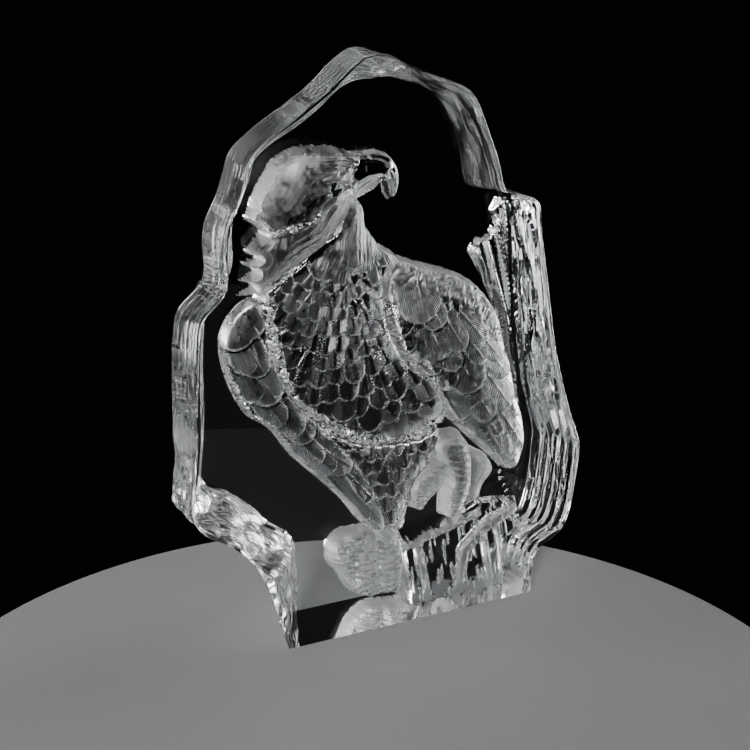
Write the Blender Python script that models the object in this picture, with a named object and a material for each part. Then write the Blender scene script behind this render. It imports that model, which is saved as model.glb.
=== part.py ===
"""Crystal eagle trophy: one upright block of clear crystal with a polished flat front.

An eagle on a rock, with the cliff beside it, is sunk into the back of the block, so that it
swells toward the viewer. Lengths are in metres. Free forms are drawn in thousandths of the
block's height, across (to the right, seen from the front) and up (from the underside).
"""

import math

import bmesh
import bpy
import numpy as np

# Driving dimensions
BLOCK_HEIGHT = 0.200
BASE_THICKNESS = 0.042
TOP_THICKNESS = 0.028
SHARE = BLOCK_HEIGHT / 1000
FRONT_FACE = -BASE_THICKNESS / 2

# Walls
OUTLINE_STEP = 24
FRONT_ROUND = 3
RIDGE_DEPTH = 0.45
RING_DEPTHS = (0.0, 0.016, 0.14, 0.24, 0.34, 0.45, 0.56, 0.67, 0.78, 0.89, 1.0)
SHOULDER = (0.0, 700.0)
FLUTE_DEPTH = 7.0
FLUTED_HEIGHTS = (20.0, 60.0, 700.0, 735.0)
POCK_DEPTH = 7.0
POCK_PITCH = 31.0
POCK_SHIFT = 2.1
LOW_POCK_HEIGHTS = (0.0, 30.0, 330.0, 400.0)
TOP_POCK_ACROSS = (-70.0, -30.0, 150.0, 170.0)
TOP_POCKS_ABOVE = 820.0
GROOVE_FADE = 0.12

# Carving
CARVED_WIDTH = (-306.0, 324.0)
CARVED_HEIGHT = (-16.0, 864.0)
CARVED_STEP = 10.0
OUTSIDE_FALL = 1.6
MOST_CARVED = 0.56
CUTTER_CLEARANCE = 8.0
CURVE_STEPS = 4
EDGE_SOFTNESS = 8.0

# Each row of the outline: across, up, how far the ridge of the wall stands out, how far the back draws in
OUTLINE = (
    (-216, 0, 0, 72), (-233, 50, 0, 86), (-252, 113, 0, 104), (-267, 155, 2, 106), (-290, 187, 4, 90),
    (-319, 214, 8, 96), (-356, 238, 10, 108), (-374, 262, 10, 96), (-379, 290, 10, 62), (-372, 336, 12, 56),
    (-364, 410, 15, 52), (-362, 500, 16, 50), (-358, 568, 16, 50), (-350, 606, 14, 50), (-316, 640, 12, 50),
    (-308, 667, 12, 50), (-309, 707, 12, 50), (-304, 744, 12, 50), (-286, 785, 10, 50), (-274, 815, 12, 50),
    (-262, 851, 10, 50), (-228, 882, 6, 50), (-176, 913, 6, 50), (-128, 946, 6, 50), (-94, 974, 8, 52),
    (-62, 991, 9, 54), (-25, 990, 6, 50), (32, 964, 2, 26), (89, 942, 0, 26), (119, 926, 0, 30),
    (138, 898, 0, 28), (158, 850, 0, 22), (174, 809, 0, 26), (189, 757, 0, 26), (202, 748, 0, 22),
    (232, 739, 0, 10), (257, 722, 0, 6), (263, 675, 0, 8), (278, 589, 0, 14), (292, 501, 0, 20),
    (307, 432, 0, 26), (332, 346, 0, 32), (356, 279, 0, 36), (357, 248, 0, 36), (351, 195, 0, 34),
    (341, 142, 0, 32), (325, 110, 0, 28), (294, 92, 0, 24), (276, 78, 0, 22), (268, 50, 0, 20),
    (264, 0, 0, 18),
)

# Forms of the carving, each a closed curve through a few points
LEFT_WING = (
    (-221, 596), (-262, 582), (-286, 534), (-275, 466), (-243, 398), (-198, 361), (-161, 307), (-113, 257),
    (-67, 207), (-32, 159), (-2, 131), (20, 140), (6, 205), (-49, 290), (-119, 371), (-165, 448),
    (-192, 530),
)
RIGHT_WING = (
    (10, 620), (24, 641), (66, 625), (128, 603), (168, 582), (204, 550), (230, 510), (242, 465), (262, 405),
    (273, 355), (290, 310), (297, 260), (284, 215), (262, 203), (225, 240), (175, 290), (130, 340),
    (88, 420),
    (45, 452), (20, 510),
)
BELLY = (
    (-110, 345), (-20, 310), (70, 300), (122, 310), (122, 262), (84, 215), (64, 160), (56, 124),
    (16, 124), (-8, 190), (-52, 268),
)
BREAST = (
    (-222, 606), (-214, 545), (-202, 485), (-180, 432), (-145, 392), (-101, 350), (-60, 322), (-15, 302),
    (28, 302), (62, 300), (96, 312), (128, 330), (124, 368), (96, 420), (52, 448), (26, 492), (8, 540),
    (2, 600), (10, 630), (-14, 672), (-48, 702), (-110, 690), (-178, 640),
)
NECK = (
    (-71, 752), (-38, 742), (-31, 706), (-16, 684), (2, 662), (30, 642), (34, 612), (14, 560), (-42, 528),
    (-116, 536), (-180, 556), (-222, 596), (-205, 622), (-158, 650), (-106, 684), (-84, 712),
)
CAPE = (
    (-53, 826), (-130, 842), (-185, 822), (-213, 783), (-227, 760), (-240, 735), (-224, 724), (-214, 708),
    (-240, 682), (-222, 668), (-247, 660), (-226, 646), (-250, 632), (-230, 622), (-254, 606), (-222, 610),
    (-158, 647), (-105, 680), (-72, 716), (-52, 742), (-38, 770),
)
CROWN = (
    (-58, 828), (-100, 838), (-148, 844), (-190, 826), (-216, 790), (-230, 756), (-211, 727), (-184, 721),
    (-156, 728), (-134, 752), (-100, 770), (-66, 784), (-50, 804),
)
BEAK = (
    (-72, 826), (-27, 827), (3, 822), (21, 808), (31, 784), (30, 758), (20, 736), (9, 748), (2, 768),
    (-16, 768),
    (-38, 758), (-60, 744), (-78, 770),
)
JAW = ((8, 766), (0, 756), (-19, 745), (-37, 735), (-60, 726), (-74, 738), (-50, 752), (-28, 766))
THIGH = (
    (108, 272), (122, 300), (150, 304), (172, 286), (182, 250), (182, 190), (164, 148), (146, 134),
    (130, 140), (130, 184), (136, 218),
)
HEEL = ((172, 262), (206, 250), (228, 232), (230, 208), (212, 186), (202, 160), (176, 152), (160, 190))
NEAR_TOE = (
    (126, 252), (92, 243), (68, 222), (61, 192), (64, 168), (84, 158), (98, 176), (124, 198), (140, 226),
)
FAR_FOOT = (
    (-66, 149), (-20, 146), (40, 126), (56, 100), (56, 24), (22, 10), (-17, 6), (-53, 26), (-72, 62),
    (-94, 92), (-92, 130),
)
ROCK = (
    (48, 108), (96, 110), (140, 124), (170, 136), (205, 152), (262, 146), (290, 140), (284, 90), (242, 60),
    (232, -60), (40, -60),
)
CLIFF = (
    (172, 628), (186, 650), (206, 652), (222, 674), (212, 698), (226, 722), (244, 716), (248, 640),
    (262, 500),
    (284, 370), (300, 262), (292, 250), (283, 337), (258, 418), (241, 487), (224, 532), (198, 586),
)

# Each form: its curve, how far in it swells, its height at the edge and at its crown
FORMS = (
    (BELLY, 60, 12, 44), (LEFT_WING, 46, 13, 42), (RIGHT_WING, 90, 22, 60), (BREAST, 135, 36, 92),
    (NECK, 60, 20, 74), (CAPE, 62, 20, 66), (CROWN, 66, 30, 80), (JAW, 18, 8, 28), (BEAK, 26, 12, 46),
    (THIGH, 26, 30, 74), (HEEL, 30, 22, 60), (NEAR_TOE, 22, 26, 66), (FAR_FOOT, 36, 18, 56),
)
ROCK_SWELL = (30, 14, 34)
CLIFF_SWELL = (12, 8, 22)
CLIFF_COLUMNS = (
    ((180, 640), (278, 390), (294, 270)),
    ((209, 660), (262, 470), (296, 270)),
    ((232, 725), (252, 560), (298, 270)),
)
COLUMN_HALF_WIDTH = 13
COLUMN_LIFT = 18
ROCK_STRIPS = (
    ((75, 100), (79, -20)), ((284, 128), (212, 104), (165, 73), (128, -20)), ((206, 100), (206, -20)),
)
STRIP_HALF_WIDTH = 9
STRIP_LIFT = 20
MOUTH = ((6, 782), (-8, 780), (-35, 765), (-66, 744))
MOUTH_HALF_WIDTH = 4
MOUTH_DEPTH = 9
BROW = ((-98, 800), (-76, 806), (-56, 796))
BROW_HALF_WIDTH = 9
BROW_LIFT = 8

# Feathers, with their length, half width and pitch as shares of the gap between rows
FEATHER_CROWN = 0.35
FEATHER_FADE = 12.0
FAN_LENGTH = 1.7
FAN_HALF_WIDTH = 0.52
FAN_PITCH = 0.95
ROW_LENGTH = 1.8
ROW_HALF_WIDTH = 0.40
ROW_PITCH = 0.72
BREAST_FAN_CENTRE = (-92, 700)
BREAST_FAN = (80, 430, 24, 42)
BREAST_HEADINGS = (-175, 25)
FEATHER_LIFT = 11
WING_ROWS = (
    # start of the rows, heading, first and last distance, first and last spacing, half width of the field
    ((30, 640), -54, (120, 470), (30, 62), 170),
    ((-262, 600), -58, (100, 520), (34, 66), 90),
)
BELLY_ROWS = ((20, 330), -88, (30, 190), (26, 26), 110)
WING_FEATHER_LIFT = 12

CRYSTAL_TINT = (0.93, 0.96, 0.97, 1.0)
CRYSTAL_IOR = 1.52
CRYSTAL_ROUGHNESS = 0.02


def thickness(up):
    """Depth of the block at a height, both in thousandths."""
    taper = (TOP_THICKNESS - BASE_THICKNESS) / BLOCK_HEIGHT
    return BASE_THICKNESS / SHARE + taper * np.clip(up, -50, 1000)


def smooth_curve(points, steps, closed):
    """A soft curve through the points, with the given steps between each two."""
    line = np.array(points, float)
    count = len(line)
    stretches = count if closed else count - 1
    found = []
    for index in range(stretches):
        around = [index - 1, index, index + 1, index + 2]
        before, start, end, after = (
            line[i % count] if closed else line[min(max(i, 0), count - 1)] for i in around
        )
        for step in range(steps):
            t = step / steps
            pull_start = (end - before) / 2
            pull_end = (after - start) / 2
            found.append(
                (2 * t**3 - 3 * t**2 + 1) * start + (t**3 - 2 * t**2 + t) * pull_start
                + (3 * t**2 - 2 * t**3) * end + (t**3 - t**2) * pull_end
            )
    if not closed:
        found.append(line[-1])
    return np.array(found)


def distance_to(across, up, path):
    """Distance from each place to a path of straight stretches."""
    nearest = np.full(across.shape, np.inf)
    for start, end in zip(path[:-1], path[1:]):
        run, rise = end[0] - start[0], end[1] - start[1]
        length = max(run * run + rise * rise, 1e-9)
        t = np.clip(((across - start[0]) * run + (up - start[1]) * rise) / length, 0, 1)
        gap = np.hypot(across - start[0] - t * run, up - start[1] - t * rise)
        nearest = np.minimum(nearest, gap)
    return nearest


def depth_inside(across, up, curve):
    """Distance in from a closed curve, negative outside it."""
    inside = np.zeros(across.shape, bool)
    for start, end in zip(curve, np.roll(curve, -1, axis=0)):
        if start[1] == end[1]:
            continue
        crosses = (start[1] > up) != (end[1] > up)
        at = start[0] + (up - start[1]) * (end[0] - start[0]) / (end[1] - start[1])
        inside ^= crosses & (across < at)
    gap = distance_to(across, up, np.vstack([curve, curve[:1]]))
    return np.where(inside, gap, -gap)


def swell(depth, reach, edge, crown):
    """Height of a rounded form: a step up at its edge, then round to its crown, and a fall outside it."""
    t = np.clip(depth / reach, 0, 1)
    rounded = edge + (crown - edge) * np.sqrt(1 - (1 - t) ** 2)
    step = np.clip(depth / EDGE_SOFTNESS, 0, 1)
    return np.where(depth > 0, rounded * step, depth * OUTSIDE_FALL)


def ridge(across, up, path, half_width):
    """1 along a path, falling to 0 at the half width."""
    t = np.clip(distance_to(across, up, np.array(path, float)) / half_width, 0, 1)
    return 0.5 + 0.5 * np.cos(math.pi * t)


def add_feather(layer, across, up, tip, heading, length, half_width, lift):
    """One feather: it rises from its root to its rounded tip and lies over what is lower."""
    run, rise = math.cos(heading), math.sin(heading)
    behind = -((across - tip[0]) * run + (up - tip[1]) * rise)
    side = ((up - tip[1]) * run - (across - tip[0]) * rise) / half_width
    rounding = half_width * (1 - np.sqrt(np.clip(1 - side**2, 0, 1)))
    back = behind - rounding
    inside = (np.abs(side) < 1) & (back > 0) & (behind < length)
    shape = (1 - back / length) * (1 - FEATHER_CROWN * side**2)
    shape = shape * np.clip(back / EDGE_SOFTNESS, 0, 1)
    np.maximum(layer, np.where(inside, lift * shape, 0), out=layer)


def spread(first, last, first_gap, last_gap):
    """Distances from first to last, with gaps that grow on the way."""
    at = first
    while at < last:
        yield at, first_gap + (last_gap - first_gap) * (at - first) / (last - first)
        at += first_gap + (last_gap - first_gap) * (at - first) / (last - first)


def feather_fan(across, up, centre, rings, headings):
    """Rings of feathers that point away from a centre, each ring set between those of the last."""
    layer = np.zeros(across.shape)
    for number, (radius, gap) in enumerate(spread(*rings)):
        start, end = (math.radians(h) for h in headings)
        count = max(1, round((end - start) * radius / (gap * FAN_PITCH)))
        for place in range(count + 1):
            heading = start + (end - start) * (place + 0.5 * (number % 2)) / count
            tip = (centre[0] + radius * math.cos(heading), centre[1] + radius * math.sin(heading))
            length, half_width = gap * FAN_LENGTH, gap * FAN_HALF_WIDTH
            add_feather(layer, across, up, tip, heading, length, half_width, FEATHER_LIFT)
    return layer


def feather_rows(across, up, start, degrees, distances, gaps, half_field):
    """Straight rows of feathers that all point one way."""
    layer = np.zeros(across.shape)
    heading = math.radians(degrees)
    run, rise = math.cos(heading), math.sin(heading)
    for number, (distance, gap) in enumerate(spread(*distances, *gaps)):
        pitch = gap * ROW_PITCH
        for place in range(-int(half_field // pitch), int(half_field // pitch) + 1):
            side = (place + 0.5 * (number % 2)) * pitch
            tip = (start[0] + run * distance - rise * side, start[1] + rise * distance + run * side)
            length, half_width = gap * ROW_LENGTH, gap * ROW_HALF_WIDTH
            add_feather(layer, across, up, tip, heading, length, half_width, WING_FEATHER_LIFT)
    return layer


def carving(across, up):
    """Height of the carving above the flat back, in thousandths, and below nothing outside it."""
    heights = {}
    depths = {}
    for form, reach, edge, crown in FORMS:
        depths[form] = depth_inside(across, up, smooth_curve(form, CURVE_STEPS, True))
        heights[form] = swell(depths[form], reach, edge, crown)

    fan = feather_fan(across, up, BREAST_FAN_CENTRE, BREAST_FAN, BREAST_HEADINGS)
    rows = [feather_rows(across, up, *row) for row in WING_ROWS]
    scallops = feather_rows(across, up, *BELLY_ROWS)
    for form, layer in ((BREAST, fan), (RIGHT_WING, rows[0]), (LEFT_WING, rows[1]), (BELLY, scallops)):
        heights[form] = heights[form] + layer * np.clip(depths[form] / FEATHER_FADE, 0, 1)
    heights[BEAK] = heights[BEAK] - MOUTH_DEPTH * ridge(across, up, MOUTH, MOUTH_HALF_WIDTH)
    heights[CROWN] = heights[CROWN] + BROW_LIFT * ridge(across, up, BROW, BROW_HALF_WIDTH)

    rock_depth = depth_inside(across, up, np.array(ROCK, float))
    rock = swell(rock_depth, *ROCK_SWELL)
    for strip in ROCK_STRIPS:
        rock = rock + STRIP_LIFT * ridge(across, up, strip, STRIP_HALF_WIDTH) * (rock_depth > 0)
    cliff_depth = depth_inside(across, up, np.array(CLIFF, float))
    cliff = swell(cliff_depth, *CLIFF_SWELL)
    for column in CLIFF_COLUMNS:
        cliff = cliff + COLUMN_LIFT * ridge(across, up, column, COLUMN_HALF_WIDTH) * (cliff_depth > 0)

    height = np.maximum.reduce([*heights.values(), rock, cliff])
    return np.minimum(height, MOST_CARVED * thickness(up))


def wall_point(row, depth, place):
    """Across and up of one point of the wall, at a share of the block's depth."""
    across, up, outset, inset = row
    if depth < RIDGE_DEPTH:
        out = outset * math.sin(math.pi / 2 * depth / RIDGE_DEPTH)
    else:
        out = outset - (outset + inset) * (depth - RIDGE_DEPTH) / (1 - RIDGE_DEPTH)
    if outset == 0:
        out = -inset * depth
    if depth == 0:
        out -= FRONT_ROUND
    fade = min(depth / GROOVE_FADE, (1 - depth) / GROOVE_FADE, 1.0)
    out -= fade * (flute(across, up, depth) + pock(across, up, depth, place))
    hub = SHOULDER[1] if up > SHOULDER[1] else up
    reach = math.hypot(across - SHOULDER[0], up - hub)
    return across + out * (across - SHOULDER[0]) / reach, up + out * (up - hub) / reach


def ramp(value, start, full, fade, end):
    """0 outside start to end, 1 between full and fade."""
    return float(np.interp(value, (start, full, fade, end), (0, 1, 1, 0)))


def flute(across, up, depth):
    """Grooves that run up the cliff side of the wall."""
    if across < 0:
        return 0.0
    groove = 1 if RING_DEPTHS.index(depth) % 2 else 0
    return FLUTE_DEPTH * groove * ramp(up, *FLUTED_HEIGHTS)


def pock(across, up, depth, place):
    """Hollows over the low left wall and along the top right one."""
    low_left = ramp(up, *LOW_POCK_HEIGHTS) if across < 0 else 0.0
    top_right = ramp(across, *TOP_POCK_ACROSS) if up > TOP_POCKS_ABOVE else 0.0
    weight = max(low_left, top_right)
    turn = place * OUTLINE_STEP / POCK_PITCH * math.pi
    shift = RING_DEPTHS.index(depth) * POCK_SHIFT
    return POCK_DEPTH * weight * (0.5 + 0.5 * math.sin(turn) * math.cos(shift))


def outline_rows():
    """The outline's rows with more of them where the gaps are wide."""
    rows = [OUTLINE[0]]
    for start, end in zip(OUTLINE[:-1], OUTLINE[1:]):
        gap = math.hypot(end[0] - start[0], end[1] - start[1])
        parts = max(1, round(gap / OUTLINE_STEP))
        for part in range(1, parts + 1):
            t = part / parts
            rows.append(tuple(a + (b - a) * t for a, b in zip(start, end)))
    return rows


def block_mesh():
    """The block as rings of points from the front face to the back one, with a flat face at each end."""
    rows = outline_rows()
    mesh = bmesh.new()
    rings = []
    for depth in RING_DEPTHS:
        ring = []
        for place, row in enumerate(rows):
            across, up = wall_point(row, depth, place)
            up = max(up, 0.0) if row[1] else 0.0
            y = FRONT_FACE + depth * thickness(up) * SHARE
            ring.append(mesh.verts.new((across * SHARE, y, up * SHARE)))
        rings.append(ring)
    count = len(rows)
    for front, back in zip(rings[:-1], rings[1:]):
        for place in range(count):
            after = (place + 1) % count
            mesh.faces.new((front[place], front[after], back[after], back[place]))
    mesh.faces.new(rings[0])
    mesh.faces.new(rings[-1])
    bmesh.ops.recalc_face_normals(mesh, faces=mesh.faces)
    return mesh


def cutter_mesh():
    """What is taken out of the back: the carving's surface, closed behind the block."""
    columns = round((CARVED_WIDTH[1] - CARVED_WIDTH[0]) / CARVED_STEP)
    lines = round((CARVED_HEIGHT[1] - CARVED_HEIGHT[0]) / CARVED_STEP)
    mesh = bmesh.new()
    bmesh.ops.create_grid(mesh, x_segments=columns, y_segments=lines, size=0.5)
    places = np.array([vertex.co[:2] for vertex in mesh.verts])
    across = CARVED_WIDTH[0] + (places[:, 0] + 0.5) * (CARVED_WIDTH[1] - CARVED_WIDTH[0])
    up = CARVED_HEIGHT[0] + (places[:, 1] + 0.5) * (CARVED_HEIGHT[1] - CARVED_HEIGHT[0])
    height = np.maximum(carving(across, up), -CUTTER_CLEARANCE)
    for vertex, x, z, h in zip(mesh.verts, across, up, height):
        vertex.co = (x * SHARE, FRONT_FACE + (thickness(z) - h) * SHARE, z * SHARE)
    rim = [edge for edge in mesh.edges if edge.is_boundary]
    sides = bmesh.ops.extrude_edge_only(mesh, edges=rim)["geom"]
    behind = FRONT_FACE + BASE_THICKNESS + 2 * CUTTER_CLEARANCE * SHARE
    for part in sides:
        if isinstance(part, bmesh.types.BMVert):
            part.co.y = behind
    rim = [edge for edge in mesh.edges if edge.is_boundary]
    bmesh.ops.contextual_create(mesh, geom=rim)
    bmesh.ops.recalc_face_normals(mesh, faces=mesh.faces)
    return mesh


def centre_offset():
    """How far to move the block so that its middle stands over the origin."""
    places = list(enumerate(outline_rows()))
    reach = [wall_point(row, depth, place)[0] for depth in RING_DEPTHS for place, row in places]
    return -SHARE * (max(reach) + min(reach)) / 2


def crystal_material():
    """Clear crystal."""
    material = bpy.data.materials.new("crystal")
    material.use_nodes = True
    shader = material.node_tree.nodes["Principled BSDF"]
    shader.inputs["Base Color"].default_value = CRYSTAL_TINT
    shader.inputs["Roughness"].default_value = CRYSTAL_ROUGHNESS
    shader.inputs["IOR"].default_value = CRYSTAL_IOR
    shader.inputs["Transmission Weight"].default_value = 1.0
    return material


def add_object(name, source, collection):
    """An object made from a bmesh, moved over the origin."""
    data = bpy.data.meshes.new(name)
    bmesh.ops.translate(source, verts=source.verts, vec=(centre_offset(), 0, 0))
    source.to_mesh(data)
    source.free()
    item = bpy.data.objects.new(name, data)
    collection.objects.link(item)
    return item


def main():
    """Builds the block and cuts the carving from its back."""
    for item in list(bpy.data.objects):
        bpy.data.objects.remove(item)
    shown = bpy.data.collections.new("crystal_eagle_trophy")
    cutters = bpy.data.collections.new("cutters")
    for collection in (shown, cutters):
        bpy.context.scene.collection.children.link(collection)
    block = add_object("crystal_eagle_block", block_mesh(), shown)
    block.data.materials.append(crystal_material())
    cutter = add_object("eagle_cutter", cutter_mesh(), cutters)
    cutter.hide_render = True
    cutter.display_type = "WIRE"
    carve = block.modifiers.new("carve", "BOOLEAN")
    carve.operation = "DIFFERENCE"
    carve.solver = "EXACT"
    carve.object = cutter


main()
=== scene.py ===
"""Looks of the crystal eagle trophy: a moulded block of clear crystal with an eagle sunk into its back.

Free forms are drawn in thousandths of the block's height, across (to the right, seen from the
front) and up (from the underside), as the named sizes of the solid are. Everything else is in metres.
"""

import logging
import math
from dataclasses import dataclass, field
from enum import Enum

import bmesh
import bpy
import numpy as np
from mathutils import Matrix, Vector


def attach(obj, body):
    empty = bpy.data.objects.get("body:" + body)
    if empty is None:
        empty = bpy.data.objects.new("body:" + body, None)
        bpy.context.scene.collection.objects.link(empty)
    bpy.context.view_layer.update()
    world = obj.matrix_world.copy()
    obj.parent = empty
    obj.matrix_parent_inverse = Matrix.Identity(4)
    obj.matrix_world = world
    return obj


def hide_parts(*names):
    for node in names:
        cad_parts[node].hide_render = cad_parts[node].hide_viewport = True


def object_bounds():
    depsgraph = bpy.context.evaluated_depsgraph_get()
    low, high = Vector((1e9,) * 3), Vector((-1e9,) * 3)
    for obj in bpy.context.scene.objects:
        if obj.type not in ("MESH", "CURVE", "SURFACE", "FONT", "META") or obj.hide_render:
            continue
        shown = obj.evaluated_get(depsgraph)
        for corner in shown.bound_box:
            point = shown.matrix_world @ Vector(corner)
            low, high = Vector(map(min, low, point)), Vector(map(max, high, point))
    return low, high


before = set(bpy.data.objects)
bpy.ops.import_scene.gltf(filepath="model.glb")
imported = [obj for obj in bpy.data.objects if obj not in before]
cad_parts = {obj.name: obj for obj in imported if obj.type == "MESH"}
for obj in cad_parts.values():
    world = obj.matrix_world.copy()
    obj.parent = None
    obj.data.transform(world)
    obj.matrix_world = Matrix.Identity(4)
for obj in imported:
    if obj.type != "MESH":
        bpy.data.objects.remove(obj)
CAD_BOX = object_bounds()
LOG = logging.getLogger("crystal_eagle")

Point = tuple[float, float]
Path = tuple[Point, ...]
Grid = np.ndarray
FeatherTable = tuple[tuple[float, float, float, float, float, float], ...]
Triple = tuple[float, float, float]
Colour = tuple[float, float, float, float]
Flat = tuple[Grid, Triple]
Value = float | bpy.types.NodeSocket

BLOCK_NODE = "crystal_eagle_block"
PIECE = "carved_crystal"
IMAGE_PIXELS = 750
AIM_HEIGHT = 0.0852
WAVES = 7
WAVE_STRETCH = (0.6, 1.6)
TINY = 1e-9


class Surface(Enum):
    """How a stretch of the crystal's surface is left by the mould."""

    CLEAR = 0.0
    SILKY = 0.35
    SATIN = 0.7
    FROSTED = 1.0


@dataclass(frozen=True)
class BlockSizes:
    """Driving sizes of the block.

    Attributes:
        height: Its height, in metres.
        base_thickness: Its thickness at the underside, in metres.
        top_thickness: Its thickness at the top, in metres.
        middle: Where its middle is across, in thousandths.
        lean: Heights, in thousandths, between which the back leans in.
    """

    height: float = 0.200
    base_thickness: float = 0.042
    top_thickness: float = 0.028
    middle: float = -15.36
    lean: Point = (-50.0, 1000.0)

    @property
    def share(self) -> float:
        """Length of a thousandth of the height."""
        return self.height / 1000

    @property
    def front_face(self) -> float:
        """Where the polished front face stands along Y."""
        return -self.base_thickness / 2

    def thickness(self, up: Grid) -> Grid:
        """Depth of the block at a height.

        Args:
            up: Height in thousandths.

        Returns:
            Depth in thousandths.
        """
        taper = (self.top_thickness - self.base_thickness) / self.height
        return self.base_thickness / self.share + taper * np.clip(up, *self.lean)


@dataclass(frozen=True)
class Form:
    """One rounded form of the carving.

    Attributes:
        curve: Points of its closed outline.
        reach: How far in from the outline it swells.
        edge: Height at the outline.
        crown: Height at its middle.
        surface: How its surface is left.
        soft: Whether it rises gently from its outline, and not like a ball.
        straight: Whether its outline runs straight from point to point.
    """

    curve: Path
    reach: float
    edge: float
    crown: float
    surface: Surface
    soft: bool = False
    straight: bool = False


LEFT_WING: Path = (
    (-221, 596), (-262, 582), (-286, 534), (-275, 466), (-243, 398), (-198, 361), (-161, 307), (-113, 257),
    (-67, 207), (-32, 159), (-2, 131), (20, 140), (6, 205), (-49, 290), (-119, 371), (-165, 448),
    (-192, 530),
)
RIGHT_WING: Path = (
    (10, 620), (24, 641), (66, 625), (128, 603), (168, 582), (204, 550), (230, 510), (242, 465), (262, 405),
    (273, 355), (290, 310), (297, 260), (284, 215), (262, 203), (225, 240), (175, 290), (130, 340),
    (88, 420), (45, 452), (20, 510),
)
BELLY: Path = (
    (-110, 345), (-20, 310), (70, 300), (122, 310), (122, 262), (84, 215), (64, 160), (56, 124),
    (16, 124), (-8, 190), (-52, 268),
)
BREAST: Path = (
    (-222, 606), (-214, 545), (-202, 485), (-180, 432), (-145, 392), (-101, 350), (-60, 322), (-15, 302),
    (28, 302), (62, 300), (96, 312), (128, 330), (124, 368), (96, 420), (52, 448), (26, 492), (8, 540),
    (2, 600), (10, 630), (-14, 672), (-48, 702), (-110, 690), (-178, 640),
)
NECK: Path = (
    (-71, 752), (-38, 742), (-31, 706), (-16, 684), (2, 662), (30, 642), (34, 612), (14, 560), (-42, 528),
    (-116, 536), (-180, 556), (-222, 596), (-205, 622), (-158, 650), (-106, 684), (-84, 712),
)
CAPE: Path = (
    (-53, 826), (-130, 842), (-185, 822), (-213, 783), (-227, 760), (-240, 735), (-224, 724), (-214, 708),
    (-240, 682), (-222, 668), (-247, 660), (-226, 646), (-250, 632), (-230, 622), (-254, 606), (-222, 610),
    (-158, 647), (-105, 680), (-72, 716), (-52, 742), (-38, 770),
)
CROWN: Path = (
    (-62, 829), (-100, 838), (-148, 844), (-190, 826), (-216, 790), (-230, 756), (-211, 727), (-184, 721),
    (-156, 728), (-134, 752), (-100, 770), (-66, 784), (-40, 794), (-30, 808), (-38, 820),
)
BEAK: Path = (
    (-72, 826), (-27, 827), (3, 822), (21, 808), (31, 784), (30, 758), (20, 736), (9, 748), (2, 768),
    (-16, 768), (-38, 758), (-60, 744), (-78, 770),
)
JAW: Path = ((4, 770), (-8, 758), (-26, 750), (-42, 743), (-60, 734), (-74, 738), (-50, 752), (-28, 766))
THIGH: Path = (
    (108, 272), (122, 300), (150, 304), (172, 286), (182, 250), (182, 190), (164, 148), (146, 134),
    (130, 140), (130, 184), (136, 218),
)
HEEL: Path = ((172, 262), (206, 250), (228, 232), (230, 208), (212, 186), (202, 160), (176, 152), (160, 190))
NEAR_TOE: Path = (
    (126, 252), (92, 243), (68, 222), (61, 192), (64, 168), (84, 158), (98, 176), (124, 198), (140, 226),
)
FAR_FOOT: Path = (
    (-66, 149), (-20, 146), (40, 126), (56, 100), (56, 24), (22, 10), (-17, 6), (-53, 26), (-72, 62),
    (-94, 92), (-92, 130),
)
ROCK: Path = (
    (48, 108), (96, 110), (140, 124), (170, 136), (205, 152), (262, 146), (290, 140), (284, 90), (242, 60),
    (232, -60), (40, -60),
)
CLIFF: Path = (
    (172, 628), (186, 650), (206, 652), (222, 674), (212, 698), (226, 722), (244, 716), (248, 640),
    (262, 500), (284, 370), (300, 262), (292, 250), (283, 337), (258, 418), (241, 487), (224, 532),
    (198, 586),
)
CLIFF_COLUMNS: tuple[Path, ...] = (
    ((180, 640), (232, 500), (268, 400), (292, 290)), ((198, 652), (248, 490), (280, 380), (295, 280)),
    ((214, 690), (256, 520), (288, 360)), ((226, 722), (258, 570), (290, 390)),
    ((240, 720), (262, 600), (284, 450)),
)
# Each strip, lobe and crease: path, half width
ROCK_STRIPS: tuple[tuple[Path, float], ...] = (
    (((75, 98), (79, -20)), 12), (((48, 96), (96, 106), (140, 114), (205, 128)), 7),
    (((284, 128), (212, 104), (165, 73), (128, -20)), 14), (((208, 92), (206, -20)), 10),
    (((238, 100), (236, -20)), 9), (((292, 100), (270, -20)), 9),
)
BREAST_EDGE: Path = (
    (-216, 590), (-206, 520), (-194, 465), (-178, 420), (-146, 386), (-104, 356), (-60, 326), (-15, 308),
    (30, 300), (75, 304), (112, 318),
)
BREAST_SIDE: Path = ((4, 640), (0, 590), (8, 540), (24, 494), (50, 452), (92, 424))
EYE_SOCKET: Path = ((-98, 776), (-76, 774), (-56, 772))
CAPE_FLECKS: Path = ((-200, 712), (-165, 720), (-143, 722), (-126, 738))
CROWN_EDGE: Path = ((-178, 730), (-156, 738), (-134, 756), (-110, 768), (-92, 778))
CAPE_EDGE: Path = ((-196, 628), (-158, 644), (-105, 678), (-74, 710), (-60, 730))
# Each rib field: form, where it is measured from, the way it runs, distance between ribs, their height
TOE_RIBS: tuple[tuple[str, Point, float, float, float], ...] = (
    ("near_toe", (100, 250), -100, 9, 2.6), ("thigh", (150, 300), -95, 14, 2.6),
    ("far_foot", (-60, 140), -72, 11, 6),
)
FOOT_LOBES: tuple[tuple[Path, float], ...] = (
    (((-80, 120), (-60, 80)), 20), (((-50, 138), (-20, 110), (-22, 70)), 18),
    (((10, 128), (26, 90), (24, 20)), 20),
)
FOOT_CREASES: tuple[tuple[Path, float], ...] = (
    (((-72, 128), (-50, 90), (-46, 44)), 7), (((-8, 138), (0, 100), (2, 40)), 7),
    (((36, 128), (46, 80), (46, 30)), 5),
)
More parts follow.
